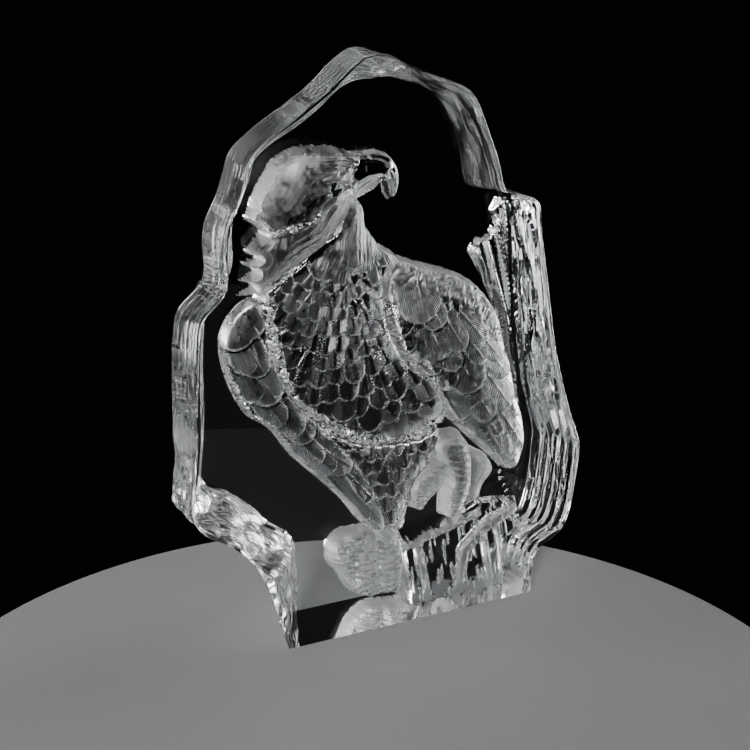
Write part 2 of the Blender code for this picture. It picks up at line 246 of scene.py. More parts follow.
# Each feather: across and up of its tip, heading in degrees, length, half width, finish
RIGHT_WING_FEATHERS: FeatherTable = (
    (72, 520, -80, 95, 38, 0.9), (35, 498, -85, 60, 22, 0.3), (107, 508, -60, 80, 24, 0.8),
    (48, 465, -75, 60, 20, 0.3), (72, 448, -70, 60, 18, 0.5), (114, 447, -65, 75, 22, 0.8),
    (152, 460, -60, 80, 20, 0.85), (195, 470, -50, 80, 18, 0.8), (95, 437, -65, 50, 15, 0.4),
    (103, 417, -65, 55, 20, 0.2), (142, 424, -60, 60, 20, 0.7), (195, 432, -55, 70, 20, 0.8),
    (230, 430, -50, 70, 16, 0.8), (133, 388, -62, 60, 22, 0.4), (182, 380, -58, 75, 34, 0.6),
    (247, 395, -52, 80, 20, 0.7), (157, 318, -60, 100, 30, 0.6), (215, 320, -57, 105, 24, 0.6),
    (255, 335, -54, 100, 26, 0.9), (190, 262, -58, 130, 20, 0.6), (220, 235, -57, 150, 20, 0.6),
    (255, 215, -57, 170, 20, 0.65), (283, 205, -57, 180, 18, 0.65), (298, 235, -56, 140, 16, 0.8),
)
LEFT_WING_FEATHERS: FeatherTable = (
    (-223, 537, -60, 90, 30, 0.5), (-255, 518, -78, 90, 34, 0.5), (-215, 467, -62, 80, 26, 0.6),
    (-240, 474, -70, 70, 22, 0.7), (-191, 416, -55, 90, 30, 0.65), (-226, 424, -62, 80, 22, 0.5),
    (-146, 352, -50, 70, 24, 0.5), (-180, 372, -55, 70, 22, 0.6), (-126, 336, -46, 80, 24, 0.4),
    (-49, 270, -35, 110, 30, 0.6), (-85, 268, -42, 110, 22, 0.5), (-110, 290, -48, 90, 20, 0.6),
    (-10, 200, -50, 110, 26, 0.5), (12, 131, -53, 160, 24, 0.6), (-22, 160, -53, 150, 22, 0.6),
)
WING_TOP: Path = (
    (10, 600), (60, 590), (100, 572), (150, 545), (190, 510), (220, 470), (240, 425), (262, 380),
)
MOUTH: Path = ((6, 782), (-8, 780), (-35, 765), (-66, 744))
# Each light patch or line of the face: path, half width, lift
FACE_LIGHTS: tuple[tuple[Path, float, float], ...] = (
    (((-88, 790), (-74, 798), (-64, 799)), 6, 2.5), (((-61, 786), (-53, 780)), 4, 1),
    (((-61, 821), (-49, 819)), 4, 1), (((-31, 819), (-27, 816)), 4, 1),
    (((9, 808), (7, 796), (2, 790)), 3.5, 1.5), (((3, 788), (12, 772), (19, 752)), 3, 2),
    (((-66, 757), (-48, 763), (-30, 773), (-14, 780), (3, 787)), 3.5, 1.5),
    (((-38, 805), (-37, 796)), 2.5, 1),
    (((-66, 825), (-12, 823), (8, 815), (20, 798), (23, 772), (21, 746)), 4, 2),
)
# Each clear band of the head: forms, path, half width, how clear it is left
HEAD_BANDS: tuple[tuple[tuple[str, ...], Path, float, float], ...] = (
    (("crown", "cape"), CROWN_EDGE, 8, 0.5), (("cape", "neck", "breast"), CAPE_EDGE, 11, 0.5),
    (("crown", "cape", "beak"), EYE_SOCKET, 17, 0.9),
)

# Each row: across, up, how far the ridge of the wall stands out, how far the back draws in
OUTLINE: tuple[tuple[float, float, float, float], ...] = (
    (-216, 0, 0, 72), (-233, 50, 0, 86), (-252, 113, 0, 104), (-267, 155, 2, 106), (-290, 187, 4, 90),
    (-319, 214, 8, 96), (-356, 238, 10, 108), (-374, 262, 10, 96), (-379, 290, 10, 62), (-372, 336, 12, 56),
    (-364, 410, 15, 52), (-362, 500, 16, 50), (-358, 568, 16, 50), (-350, 606, 14, 50), (-316, 640, 12, 50),
    (-308, 667, 12, 50), (-309, 707, 12, 50), (-304, 744, 12, 50), (-286, 785, 10, 50), (-274, 815, 12, 50),
    (-262, 851, 10, 50), (-228, 882, 6, 50), (-176, 913, 6, 50), (-128, 946, 6, 50), (-94, 974, 8, 52),
    (-62, 991, 9, 54), (-25, 990, 6, 50), (32, 964, 2, 26), (89, 942, 0, 26), (119, 926, 0, 30),
    (138, 898, 0, 28), (158, 850, 0, 22), (174, 809, 0, 26), (189, 757, 0, 26), (202, 748, 0, 22),
    (232, 739, 0, 10), (257, 722, 0, 6), (263, 675, 0, 8), (278, 589, 0, 14), (292, 501, 0, 20),
    (307, 432, 0, 26), (332, 346, 0, 32), (356, 279, 0, 36), (357, 248, 0, 36), (351, 195, 0, 34),
    (341, 142, 0, 32), (325, 110, 0, 28), (294, 92, 0, 24), (276, 78, 0, 22), (268, 50, 0, 20),
    (264, 0, 0, 18),
)
# Weight of the pocks by height on the left, and by place across at the top
LOW_POCKS: Path = ((4, 0), (30, 1), (330, 1), (400, 0.12))
TOP_POCKS: Path = ((-70, 0.12), (-30, 1), (150, 0.7), (185, 0.25))


def smooth_curve(points: Grid, steps: int, closed: bool) -> Grid:
    """A soft curve through points.

    Args:
        points: The points, one row each.
        steps: Steps between each two of them.
        closed: Whether the curve runs back to its first point.

    Returns:
        The curve's points.
    """
    line = np.array(points, float)
    count = len(line)
    found = []
    for index in range(count if closed else count - 1):
        around = [index - 1, index, index + 1, index + 2]
        places = [i % count if closed else min(max(i, 0), count - 1) for i in around]
        before, start, end, after = line[places]
        for step in range(steps):
            t = step / steps
            pull_start, pull_end = (end - before) / 2, (after - start) / 2
            found.append(
                (2 * t**3 - 3 * t**2 + 1) * start + (t**3 - 2 * t**2 + t) * pull_start
                + (3 * t**2 - 2 * t**3) * end + (t**3 - t**2) * pull_end
            )
    if not closed:
        found.append(line[-1])
    return np.array(found)


def distance_to(across: Grid, up: Grid, path: Grid) -> Grid:
    """Distance from each place to a path of straight stretches.

    Args:
        across: Places across.
        up: Places up.
        path: Points of the path.

    Returns:
        The distances.
    """
    nearest = np.full(across.shape, np.inf)
    for start, end in zip(path[:-1], path[1:]):
        run, rise = end[0] - start[0], end[1] - start[1]
        length = max(run * run + rise * rise, TINY)
        t = np.clip(((across - start[0]) * run + (up - start[1]) * rise) / length, 0, 1)
        gap = np.hypot(across - start[0] - t * run, up - start[1] - t * rise)
        nearest = np.minimum(nearest, gap)
    return nearest


def depth_inside(across: Grid, up: Grid, curve: Grid) -> Grid:
    """Distance in from a closed curve, negative outside it.

    Args:
        across: Places across.
        up: Places up.
        curve: Points of the closed curve.

    Returns:
        The distances.
    """
    inside = np.zeros(across.shape, bool)
    for start, end in zip(curve, np.roll(curve, -1, axis=0)):
        if start[1] == end[1]:
            continue
        crosses = (start[1] > up) != (end[1] > up)
        at = start[0] + (up - start[1]) * (end[0] - start[0]) / (end[1] - start[1])
        inside ^= crosses & (across < at)
    gap = distance_to(across, up, np.vstack([curve, curve[:1]]))
    return np.where(inside, gap, -gap)


def fade(value: Grid, start: float, full: float) -> Grid:
    """A soft step from 0 at start to 1 at full.

    Args:
        value: What the step depends on.
        start: Where it is 0.
        full: Where it is 1.

    Returns:
        The step's height.
    """
    t = np.clip((value - start) / (full - start), 0, 1)
    return t * t * (3 - 2 * t)


def wobble(across: Grid, up: Grid, pitch: float, seed: int) -> Grid:
    """Smooth unevenness between -1 and 1 with no repeat that shows.

    Args:
        across: Places across.
        up: Places up.
        pitch: Rough distance between its crests.
        seed: Which unevenness.

    Returns:
        Its height at each place.
    """
    dice = np.random.default_rng(seed)
    total = np.zeros(np.broadcast(across, up).shape)
    for _ in range(WAVES):
        turn, phase = dice.uniform(0, math.tau, 2)
        stretch = dice.uniform(*WAVE_STRETCH)
        way = (across * math.cos(turn) + up * math.sin(turn)) * math.tau / (pitch * stretch)
        total += np.sin(way + phase)
    return total / math.sqrt(WAVES)


def spread(first: float, last: float, first_gap: float, last_gap: float) -> list[tuple[float, float]]:
    """Distances from first to last with gaps that grow on the way.

    Args:
        first: First distance.
        last: Where they end.
        first_gap: Gap at the start.
        last_gap: Gap at the end.

    Returns:
        Each distance with the gap that follows it.
    """
    found = []
    at = first
    while at < last:
        gap = first_gap + (last_gap - first_gap) * (at - first) / (last - first)
        found.append((at, gap))
        at += gap
    return found


@dataclass
class Sheet:
    """A level sheet of places that carries the carving's height and finish.

    Attributes:
        left: Where it starts across.
        right: Where it ends across.
        low: Where it starts up.
        high: Where it ends up.
        step: Distance between its places.
        across: Each place across.
        up: Each place up.
        height: Height of the carving.
        satin: How rough the surface is left.
        strand: Phase of the fine strands.
        strand_depth: How deep the strands are.
    """

    left: float = -306.0
    right: float = 324.0
    low: float = -16.0
    high: float = 864.0
    step: float = 2.2
    across: Grid = field(init=False)
    up: Grid = field(init=False)
    height: Grid = field(init=False)
    satin: Grid = field(init=False)
    strand: Grid = field(init=False)
    strand_depth: Grid = field(init=False)
    columns: int = field(init=False)
    rows: int = field(init=False)
    across_axis: Grid = field(init=False)
    up_axis: Grid = field(init=False)

    def __post_init__(self) -> None:
        """Lays out the places, bare."""
        self.columns = round((self.right - self.left) / self.step) + 1
        self.rows = round((self.high - self.low) / self.step) + 1
        self.across_axis = np.linspace(self.left, self.right, self.columns)
        self.up_axis = np.linspace(self.low, self.high, self.rows)
        self.across, self.up = np.meshgrid(self.across_axis, self.up_axis)
        bare = (np.zeros(self.across.shape) for _ in range(4))
        self.height, self.satin, self.strand, self.strand_depth = bare

    def window(self, points: Grid, margin: float) -> tuple[slice, slice]:
        """The part of the sheet around some points.

        Args:
            points: The points.
            margin: How far around them it reaches.

        Returns:
            Rows and columns of the part.
        """
        low, high = points.min(axis=0) - margin, points.max(axis=0) + margin
        columns = slice(*np.searchsorted(self.across_axis, (low[0], high[0])))
        rows = slice(*np.searchsorted(self.up_axis, (low[1], high[1])))
        return rows, columns

    def sample(self, layer: Grid, across: Grid, up: Grid) -> Grid:
        """A layer's value at the place nearest to each point.

        Args:
            layer: The layer.
            across: Points across.
            up: Points up.

        Returns:
            The values.
        """
        column = np.rint((across - self.left) / (self.right - self.left) * (self.columns - 1))
        row = np.rint((up - self.low) / (self.high - self.low) * (self.rows - 1))
        column, row = np.clip(column, 0, self.columns - 1), np.clip(row, 0, self.rows - 1)
        return layer[row.astype(int), column.astype(int)]


@dataclass(frozen=True)
class Plumage:
    """How one field of feathers is laid.

    Attributes:
        length: Length of a feather as a share of the gap between rows.
        half_width: Half its width as a share of that gap.
        pitch: Distance between neighbours as a share of that gap.
        lift: Height of its tip, as a share of the gap between rows.
        crown: How much lower its sides are than its shaft.
        barbs: Depth of the barbs' pattern.
        barb_pitch: Distance between barbs.
        shaft: Height of the shaft.
        rim: How rough the rim of the tip is left.
        rim_width: How wide that rim is.
        uneven: How unlike each other the feathers are.
        lift_uneven: How unlike each other their heights are.
        gap_width: Width of the polished gap under the tip.
        polish: How clear that gap is left.
    """

    length: float
    half_width: float
    pitch: float
    lift: float
    crown: float = 0.35
    barbs: float = 0.0
    barb_pitch: float = 5.0
    shaft: float = 0.0
    rim: float = 0.0
    rim_width: float = 2.5
    uneven: float = 0.10
    lift_uneven: float = 0.25
    gap_width: float = 6.0
    polish: float = 0.9


@dataclass(frozen=True)
class Fan:
    """Rings of feathers that point away from a centre.

    Attributes:
        centre: The centre.
        radii: First and last radius.
        gaps: First and last gap between rings.
        degrees: First and last heading.
        satin: How rough the vanes are left.
    """

    centre: Point
    radii: Point
    gaps: Point
    degrees: Point
    satin: float


@dataclass(frozen=True)
class Rows:
    """Straight rows of feathers that point one way.

    Attributes:
        start: Where the rows are measured from.
        degrees: The way they point.
        distances: First and last distance.
        gaps: First and last gap between rows.
        half_field: How far the rows run to each side.
        satin: How rough the vanes are left.
    """

    start: Point
    degrees: float
    distances: Point
    gaps: Point
    half_field: float
    satin: float


@dataclass(frozen=True)
class Flakes:
    """Small sharp flakes that a stretch of a form is broken up into.

    Attributes:
        pitch: Rough distance between flakes.
        lift: Their height.
        satin: How rough they are left.
        seed: Which flakes.
        crisp: How clear the ground between them is left.
    """

    pitch: float
    lift: float
    satin: float
    seed: int
    crisp: float = 0.0


BREAST_PLUMAGE = Plumage(
    length=1.7, half_width=0.58, pitch=1.0, lift=0.24, crown=0.36, barbs=0.45, barb_pitch=4.5, rim=0.9,
    rim_width=1.5, uneven=0.09, lift_uneven=0.35,
)
BREAST_FAN = Fan(centre=(-92, 700), radii=(105, 430), gaps=(24, 42), degrees=(-175, 25), satin=0.7)
BREAST_FLAKES = Flakes(pitch=19, lift=9, satin=1.0, seed=3, crisp=0.9)
BELLY_PLUMAGE = Plumage(
    length=1.8, half_width=0.56, pitch=1.0, lift=0.28, crown=0.4, barbs=0.6, rim=0.9, rim_width=1.5,
    lift_uneven=0.5,
)
BELLY_ROWS = Rows(
    start=(20, 330), degrees=-88, distances=(30, 210), gaps=(26, 26), half_field=110, satin=0.2,
)
COVERT_PLUMAGE = Plumage(length=1.9, half_width=0.42, pitch=0.76, lift=0.20, crown=0.6, barbs=0.4, rim=0.5)
COVERT_ROWS: dict[str, Rows] = {
    name: Rows(start=start, degrees=-56, distances=(60, 520), gaps=(34, 50), half_field=170, satin=0.35)
    for name, start in (("right_wing", (30, 640)), ("left_wing", (-262, 600)))
}
FLIGHT_PLUMAGE = Plumage(
    length=1, half_width=1, pitch=1, lift=16, crown=0.45, barbs=0.6, barb_pitch=5, shaft=2.0, rim=1.0,
    rim_width=3.5, gap_width=11,
)
WING_TOP_FLAKES = Flakes(pitch=17, lift=2.4, satin=1.0, seed=8, crisp=0.3)
WING_RIM_FLAKES = Flakes(pitch=13, lift=8, satin=0.8, seed=9, crisp=0.9)
CAPE_FLAKES = Flakes(pitch=9, lift=6, satin=0.6, seed=15, crisp=0.8)
FOOT_SCALES = Flakes(pitch=9, lift=3, satin=1.0, seed=31)


@dataclass
class Skin:
    """What one form carries at each place of the sheet.

    Attributes:
        lift: Height added to the form.
        satin: How rough the surface is left.
        strand: Phase of the fine strands.
        strand_depth: How deep the strands are.
    """

    lift: Grid
    satin: Grid
    strand: Grid
    strand_depth: Grid

    @classmethod
    def bare(cls, like: Grid, satin: float) -> "Skin":
        """An even skin.

        Args:
            like: A layer of the same size.
            satin: Its finish.

        Returns:
            The skin.
        """
        lift, strand, strand_depth = (np.zeros(like.shape) for _ in range(3))
        return cls(lift, np.full(like.shape, satin), strand, strand_depth)


@dataclass
class Feathers:
    """A field of overlapping feathers on a sheet.

    Attributes:
        sheet: The sheet.
        plumage: How the feathers are laid.
        seed: Which unevenness they have.
        frost: Weight of their finish over the sheet.
        tallest: Largest share of its height that a feather gets.
        margin: How far around a feather the sheet is worked on.
        tip_softness: How far in from its tip a feather reaches full height.
        shaft_half_width: Half the width of the shaft.
        shaft_start: Where the shaft starts and is full, measured from the tip.
        rim_blend: How softly the rough rim ends.
        vane_satin: Share of the finish at the root, and what the tip has more.
        barb_slant: How fast the barbs' phase grows along and across the feather.
        barb_start: Where the barbs start and are full, as shares of the half width.
        stray: How far tips stray, as a share of the unevenness.
        satin_range: Least and largest share of the finish that a feather gets.
    """

    sheet: Sheet
    plumage: Plumage
    seed: int = 11
    frost: Grid | None = None
    tallest: float = 1.1
    margin: float = 2.0
    tip_softness: float = 3.2
    shaft_half_width: float = 1.5
    shaft_start: Point = (3.0, 10.0)
    rim_blend: float = 2.0
    vane_satin: Point = (0.8, 0.35)
    barb_slant: Point = (0.55, 1.4)
    barb_start: Point = (0.02, 0.15)
    stray: float = 0.8
    satin_range: Point = (0.6, 1.4)
    skin: Skin = field(init=False)
    laid: Grid = field(init=False)
    shade: Grid = field(init=False)
    dice: np.random.Generator = field(init=False)

    def __post_init__(self) -> None:
        """Starts with no feather."""
        self.shade = np.zeros(self.sheet.across.shape)
        self.skin = Skin.bare(self.sheet.across, 0.0)
        self.laid = np.zeros(self.sheet.across.shape, bool)
        self.dice = np.random.default_rng(self.seed)

    def add(
        self, tip: Point, heading: float, length: float, half_width: float, satin: float, gap: float = 1.0
    ) -> None:
        """Lays one feather over what is lower.

        Args:
            tip: Its tip.
            heading: The way it points, in radians.
            length: Its length.
            half_width: Half its width.
            satin: How rough its vane is left.
            gap: Gap between rows there.
        """
        plumage, skin = self.plumage, self.skin
        lift = gap * plumage.lift * self.dice.uniform(1 - plumage.lift_uneven, self.tallest)
        run, rise = math.cos(heading), math.sin(heading)
        root = (tip[0] - run * length, tip[1] - rise * length)
        part = self.sheet.window(np.array([tip, root]), half_width + self.margin)
        across, up = self.sheet.across[part], self.sheet.up[part]
        behind = -((across - tip[0]) * run + (up - tip[1]) * rise)
        side = ((up - tip[1]) * run - (across - tip[0]) * rise) / half_width
        aside = np.abs(side)
        back = behind - half_width * (1 - np.sqrt(np.clip(1 - side**2, 0, 1)))
        inside = (aside < 1) & (back > 0) & (behind < length)
        shape = (1 - back / length) * (1 - plumage.crown * side**2) * np.clip(back / self.tip_softness, 0, 1)
        shaft = np.clip(self.shaft_half_width - aside * half_width / self.shaft_half_width, 0, 1)
        shaft = plumage.shaft * shaft * fade(back, *self.shaft_start)
        shape = np.where(inside, lift * shape + shaft, 0)
        over = inside & (shape > skin.lift[part])
        rim = 1 - fade(back, plumage.rim_width, plumage.rim_width + self.rim_blend)
        root_satin, tip_satin = self.vane_satin
        vane = np.clip(satin * (root_satin + tip_satin * (1 - back / length)), 0, 1)
        if self.frost is not None:
            vane = vane * self.frost[part]
        slant_along, slant_aside = self.barb_slant
        layers = (
            (skin.lift, shape),
            (skin.satin, rim * plumage.rim + (1 - rim) * vane),
            (skin.strand, (slant_along * behind + slant_aside * aside * half_width) / plumage.barb_pitch),
            (skin.strand_depth, plumage.barbs * fade(aside, *self.barb_start) * (1 - rim)),
            (self.laid, np.ones(shape.shape, bool)),
        )
        for layer, value in layers:
            layer[part] = np.where(over, value, layer[part])
        beyond = (aside < 1) & (back <= 0) & (back > -plumage.gap_width)
        shade = np.where(beyond, lift * (1 + back / plumage.gap_width), 0)
        self.shade[part] = np.maximum(self.shade[part], shade)

    def scatter(self, tip: Point, heading: float, gap: float, satin: float) -> None:
        """Lays a feather of a field, a little out of line.

        Args:
            tip: Its tip.
            heading: The way it points, in radians.
            gap: Gap between rows there.
            satin: How rough its vane is left.
        """
        plumage, dice = self.plumage, self.dice
        heading += dice.normal(0, plumage.uneven)
        moved = np.array(tip) + dice.normal(0, plumage.uneven * self.stray * gap, 2)
        half_width = plumage.half_width * gap * dice.uniform(1 - plumage.uneven, 1 + plumage.uneven)
        rough = float(np.clip(satin * dice.uniform(*self.satin_range), 0, 1))
        self.add((moved[0], moved[1]), heading, plumage.length * gap, half_width, rough, gap)

    def fan(self, layout: Fan) -> "Feathers":
        """Lays rings of feathers that point away from a centre.

        Args:
            layout: Where they lie.

        Returns:
            The same field.
        """
        centre = layout.centre
        start, end = (math.radians(heading) for heading in layout.degrees)
        for number, (radius, gap) in enumerate(spread(*layout.radii, *layout.gaps)):
            count = max(1, round((end - start) * radius / (gap * self.plumage.pitch)))
            for place in range(count + 1):
                heading = start + (end - start) * (place + 0.5 * (number % 2)) / count
                tip = (centre[0] + radius * math.cos(heading), centre[1] + radius * math.sin(heading))
                self.scatter(tip, heading, gap, layout.satin)
        return self

    def rows(self, layout: Rows) -> "Feathers":
        """Lays straight rows of feathers that point one way.

        Args:
            layout: Where they lie.

        Returns:
            The same field.
        """
        start, heading = layout.start, math.radians(layout.degrees)
        run, rise = math.cos(heading), math.sin(heading)
        for number, (distance, gap) in enumerate(spread(*layout.distances, *layout.gaps)):
            pitch = gap * self.plumage.pitch
            most = int(layout.half_field // pitch)
            for place in range(-most, most + 1):
                side = (place + 0.5 * (number % 2)) * pitch
                tip = (start[0] + run * distance - rise * side, start[1] + rise * distance + run * side)
                self.scatter(tip, heading, gap, layout.satin)
        return self

    def drawn(self, table: FeatherTable) -> "Feathers":
        """Lays feathers one by one.

        Args:
            table: Tip, heading in degrees, length, half width and finish of each.

        Returns:
            The same field.
        """
        for across, up, degrees, length, half_width, satin in table:
            self.add((across, up), math.radians(degrees), length, half_width, satin)
        return self


@dataclass
class Carving:
    """The eagle, its rock and the cliff, as a height over the flat back.

    Attributes:
        sizes: The block's sizes.
        sheet: The sheet that carries the carving.
        outside_fall: How steeply a form falls off outside its outline.
        edge_softness: How far in from its outline a form steps up to its edge height.
        feather_fade: How far in from its outline feathers and locks reach full height.
        flake_fade: How far in from its outline flakes reach full height.
        most_carved: Largest share of the block's thickness that is taken out.
        crest_round: How far a form's crest is rounded, as a share of its reach.
        curve_steps: Steps between each two points of an outline.
        margin: How far around its outline a form is worked out.
        hair_centre: Where the hair of the neck and breast runs from.
        locks_in_turn: Locks of that hair in a turn of one radian.
        strands_in_lock: Fine strands in each lock.
        cape_lock: Distance between the cape's locks.
        crown_lock: Distance between the crown's locks.
        slope: How fast the neck falls toward its foot, and crown and cape toward the face.
        neck_foot: Height below which the neck falls.
        face_start: Place across from which crown and cape fall.
        mouth_depth: Depth of the line between the beak's halves.
        socket_depth: Depth of the eye's socket.
        lobe_lift: Height of the far foot's lobes.
        crease_depth: Depth of the creases between them.
        rock_slope: How fast the rock's faces rise toward the base.
        rock_top: Height at which they start.
        dash_lift: Height of the rock's dashes.
        strip_lift: Height of the rock's strips.
        column_lift: Height of the cliff's columns.
    """

    sizes: BlockSizes
    sheet: Sheet
    outside_fall: float = 1.6
    edge_softness: float = 6.0
    feather_fade: float = 10.0
    flake_fade: float = 3.0
    most_carved: float = 0.57
    crest_round: float = 0.32
    curve_steps: int = 5
    margin: float = 24.0
    hair_centre: Point = (-50.0, 800.0)
    locks_in_turn: float = 15.0
    strands_in_lock: float = 2.5
    cape_lock: float = 15.0
    crown_lock: float = 11.0
    slope: float = 0.28
    neck_foot: float = 655.0
    face_start: float = -95.0
    mouth_depth: float = 10.0
    socket_depth: float = 4.0
    lobe_lift: float = 16.0
    crease_depth: float = 14.0
    rock_slope: float = 0.72
    rock_top: float = 136.0
    dash_lift: float = 5.0
    strip_lift: float = 16.0
    column_lift: float = 15.0
    forms: dict[str, Form] = field(init=False)
    depths: dict[str, Grid] = field(init=False)
    heights: dict[str, Grid] = field(init=False)
    skins: dict[str, Skin] = field(init=False)

    def __post_init__(self) -> None:
        """Sets out the forms of the eagle: outline, reach, height at the edge and at the crown."""
        self.forms = {
            "belly": Form(BELLY, 60, 12, 44, Surface.SILKY),
            "left_wing": Form(LEFT_WING, 46, 22, 34, Surface.CLEAR, soft=True),
            "right_wing": Form(RIGHT_WING, 90, 22, 60, Surface.CLEAR),
            "breast": Form(BREAST, 150, 48, 60, Surface.CLEAR, soft=True),
            "neck": Form(NECK, 70, 44, 68, Surface.SATIN, soft=True),
            "cape": Form(CAPE, 60, 48, 74, Surface.SATIN, soft=True),
            "crown": Form(CROWN, 80, 56, 84, Surface.FROSTED, soft=True),
            "jaw": Form(JAW, 18, 14, 34, Surface.FROSTED),
            "beak": Form(BEAK, 26, 16, 52, Surface.CLEAR),
            "thigh": Form(THIGH, 26, 30, 74, Surface.FROSTED),
            "heel": Form(HEEL, 30, 22, 60, Surface.FROSTED),
            "near_toe": Form(NEAR_TOE, 22, 26, 66, Surface.FROSTED),
            "far_foot": Form(FAR_FOOT, 36, 24, 62, Surface.FROSTED),
            "rock": Form(ROCK, 14, 12, 22, Surface.CLEAR, straight=True),
            "cliff": Form(CLIFF, 12, 8, 22, Surface.CLEAR, straight=True),
        }
        self.depths, self.heights, self.skins = {}, {}, {}
        for name, form in self.forms.items():
            self.place(name, form)

    def soften(self, layer: Grid, reach: float) -> Grid:
        """Rounds a layer's creases.

        Args:
            layer: The layer.
            reach: How far the rounding reaches.

        Returns:
            The rounded layer.
        """
        kernel = np.hanning(2 * max(1, round(reach / self.sheet.step)) + 3)
        for axis in (0, 1):
            layer = np.apply_along_axis(np.convolve, axis, layer, kernel / kernel.sum(), "same")
        return layer

    def swell(self, depth: Grid, form: Form) -> Grid:
        """Height of a rounded form: a step up at its edge, then round to its crown, and a fall outside it.

        Args:
            depth: Distance in from its outline.
            form: The form.

        Returns:
            The height.
        """
        crested = self.soften(np.clip(depth, 0, None), form.reach * self.crest_round)
        t = np.clip(crested / form.reach, 0, 1)
        risen = 1 - (1 - t) ** 2
        rounded = form.edge + (form.crown - form.edge) * (risen if form.soft else np.sqrt(risen))
        step = np.clip(depth / self.edge_softness, 0, 1)
        return np.where(depth > 0, rounded * step, depth * self.outside_fall)

    def place(self, name: str, form: Form) -> None:
        """Works out where a form is and how high it stands.

        Args:
            name: The form's name.
            form: The form.
        """
        sheet = self.sheet
        curve = np.array(form.curve, float)
        if not form.straight:
            curve = smooth_curve(curve, self.curve_steps, True)
        depth = np.full(sheet.across.shape, -self.margin)
        part = sheet.window(curve, self.margin)
        depth[part] = depth_inside(sheet.across[part], sheet.up[part], curve)
        self.depths[name] = depth
        self.heights[name] = self.swell(depth, form)
        self.skins[name] = Skin.bare(depth, form.surface.value)

    def ridge(self, path: Path, half_width: float, plateau: float = 0.0) -> Grid:
        """1 along a path, falling to 0 at the half width.

        Args:
            path: The path.
            half_width: The half width.
            plateau: Share of the half width that stays at 1.

        Returns:
            The ridge.
        """
        points = np.array(path, float)
        part = self.sheet.window(points, half_width + 1)
        found = np.zeros(self.sheet.across.shape)
        gap = distance_to(self.sheet.across[part], self.sheet.up[part], points) / half_width
        found[part] = 0.5 + 0.5 * np.cos(math.pi * np.clip((gap - plateau) / (1 - plateau), 0, 1))
        return found

    def feather_up(self, name: str, feathers: Feathers) -> None:
        """Lays a field of feathers on a form.

        Args:
            name: The form.
            feathers: The feathers.
        """
        skin, laid, new = self.skins[name], feathers.laid, feathers.skin
        lift = new.lift * np.clip(self.depths[name] / self.feather_fade, 0, 1)
        gap = feathers.plumage.polish * fade(feathers.shade - new.lift, start=1, full=5)
        skin.lift = np.where(laid, lift, skin.lift)
        skin.satin = np.where(laid, new.satin, skin.satin) * (1 - gap)
        skin.strand = np.where(laid, new.strand, skin.strand)
        skin.strand_depth = np.where(laid, new.strand_depth, skin.strand_depth)

    def comb(self, name: str, phase: Grid, lift: float, depth: float, where: Grid | float = 1.0) -> None:
        """Combs hair into a form: a few raised locks, with fine strands between them.

        Args:
            name: The form.
            phase: Number of the lock at each place.
            lift: Height of a lock.
            depth: Depth of the strands.
            where: Weight over the sheet.
        """
        skin = self.skins[name]
        lock = 0.5 + 0.5 * np.sin(phase * math.tau)
        skin.lift += lift * where * lock * np.clip(self.depths[name] / self.feather_fade, 0, 1)
        skin.strand = np.where(where > 0.02, phase * self.strands_in_lock, skin.strand)
        skin.strand_depth = skin.strand_depth * (1 - where) + depth * where

    def flake(self, name: str, where: Grid, flakes: Flakes) -> None:
        """Breaks a stretch of a form up into flakes.

        Args:
            name: The form.
            where: Weight over the sheet.
            flakes: What they are like.
        """
        skin, sheet = self.skins[name], self.sheet
        crests = 1 - np.abs(wobble(sheet.across, sheet.up, flakes.pitch, flakes.seed))
        crests = np.clip(crests, -0.6, 1) * np.clip(self.depths[name] / self.flake_fade, 0, 1)
        ground = 1 - flakes.crisp + flakes.crisp * fade(crests, start=0.1, full=0.7)
        skin.lift += flakes.lift * where * crests
        skin.satin = skin.satin * (1 - where) + flakes.satin * where * ground
        skin.strand_depth = skin.strand_depth * (1 - where)

    def mottle(self, name: str, pitch: float, lift: float, seed: int) -> None:
        """Makes a form's surface softly uneven.

        Args:
            name: The form.
            pitch: Rough distance between its humps.
            lift: Their height.
            seed: Which unevenness.
        """
        skin, sheet = self.skins[name], self.sheet
        humps = wobble(sheet.across, sheet.up, pitch, seed)
        grain = wobble(sheet.across, sheet.up, pitch / 3.5, seed + 1)
        skin.lift += lift * (humps + 0.3 * grain)
        skin.satin = np.clip(skin.satin * (1 + 0.15 * humps + 0.15 * grain), 0, 1)

    def polish(self, names: tuple[str, ...], path: Path, half_width: float, share: float) -> None:
        """Leaves the surface clear along a path.

        Args:
            names: The forms.
            path: The path.
            half_width: Half the width of the clear band.
            share: How clear it is left.
        """
        band = self.ridge(path, half_width, plateau=0.4)
        for name in names:
            self.skins[name].satin *= 1 - share * band
            self.skins[name].strand_depth *= 1 - share * band

    def dress(self) -> None:
        """Adds the feathers, hair, foot scales and rock faces, and settles the sheet's layers."""
        self.dress_breast()
        self.dress_wings()
        self.dress_head()
        self.dress_feet()
        self.shape_rock()
        self.shape_cliff()
        self.settle()

    def wander(self) -> Grid:
        """How far the locks of hair wander from their line."""
        return 0.5 * wobble(self.sheet.across, self.sheet.up, pitch=90, seed=21)

    def flow(self) -> Grid:
        """Locks of hair that run down and outward from the face over the neck."""
        centre_across, centre_up = self.hair_centre
        turn = np.arctan2(self.sheet.up - centre_up, self.sheet.across - centre_across)
        return turn * self.locks_in_turn + self.wander()

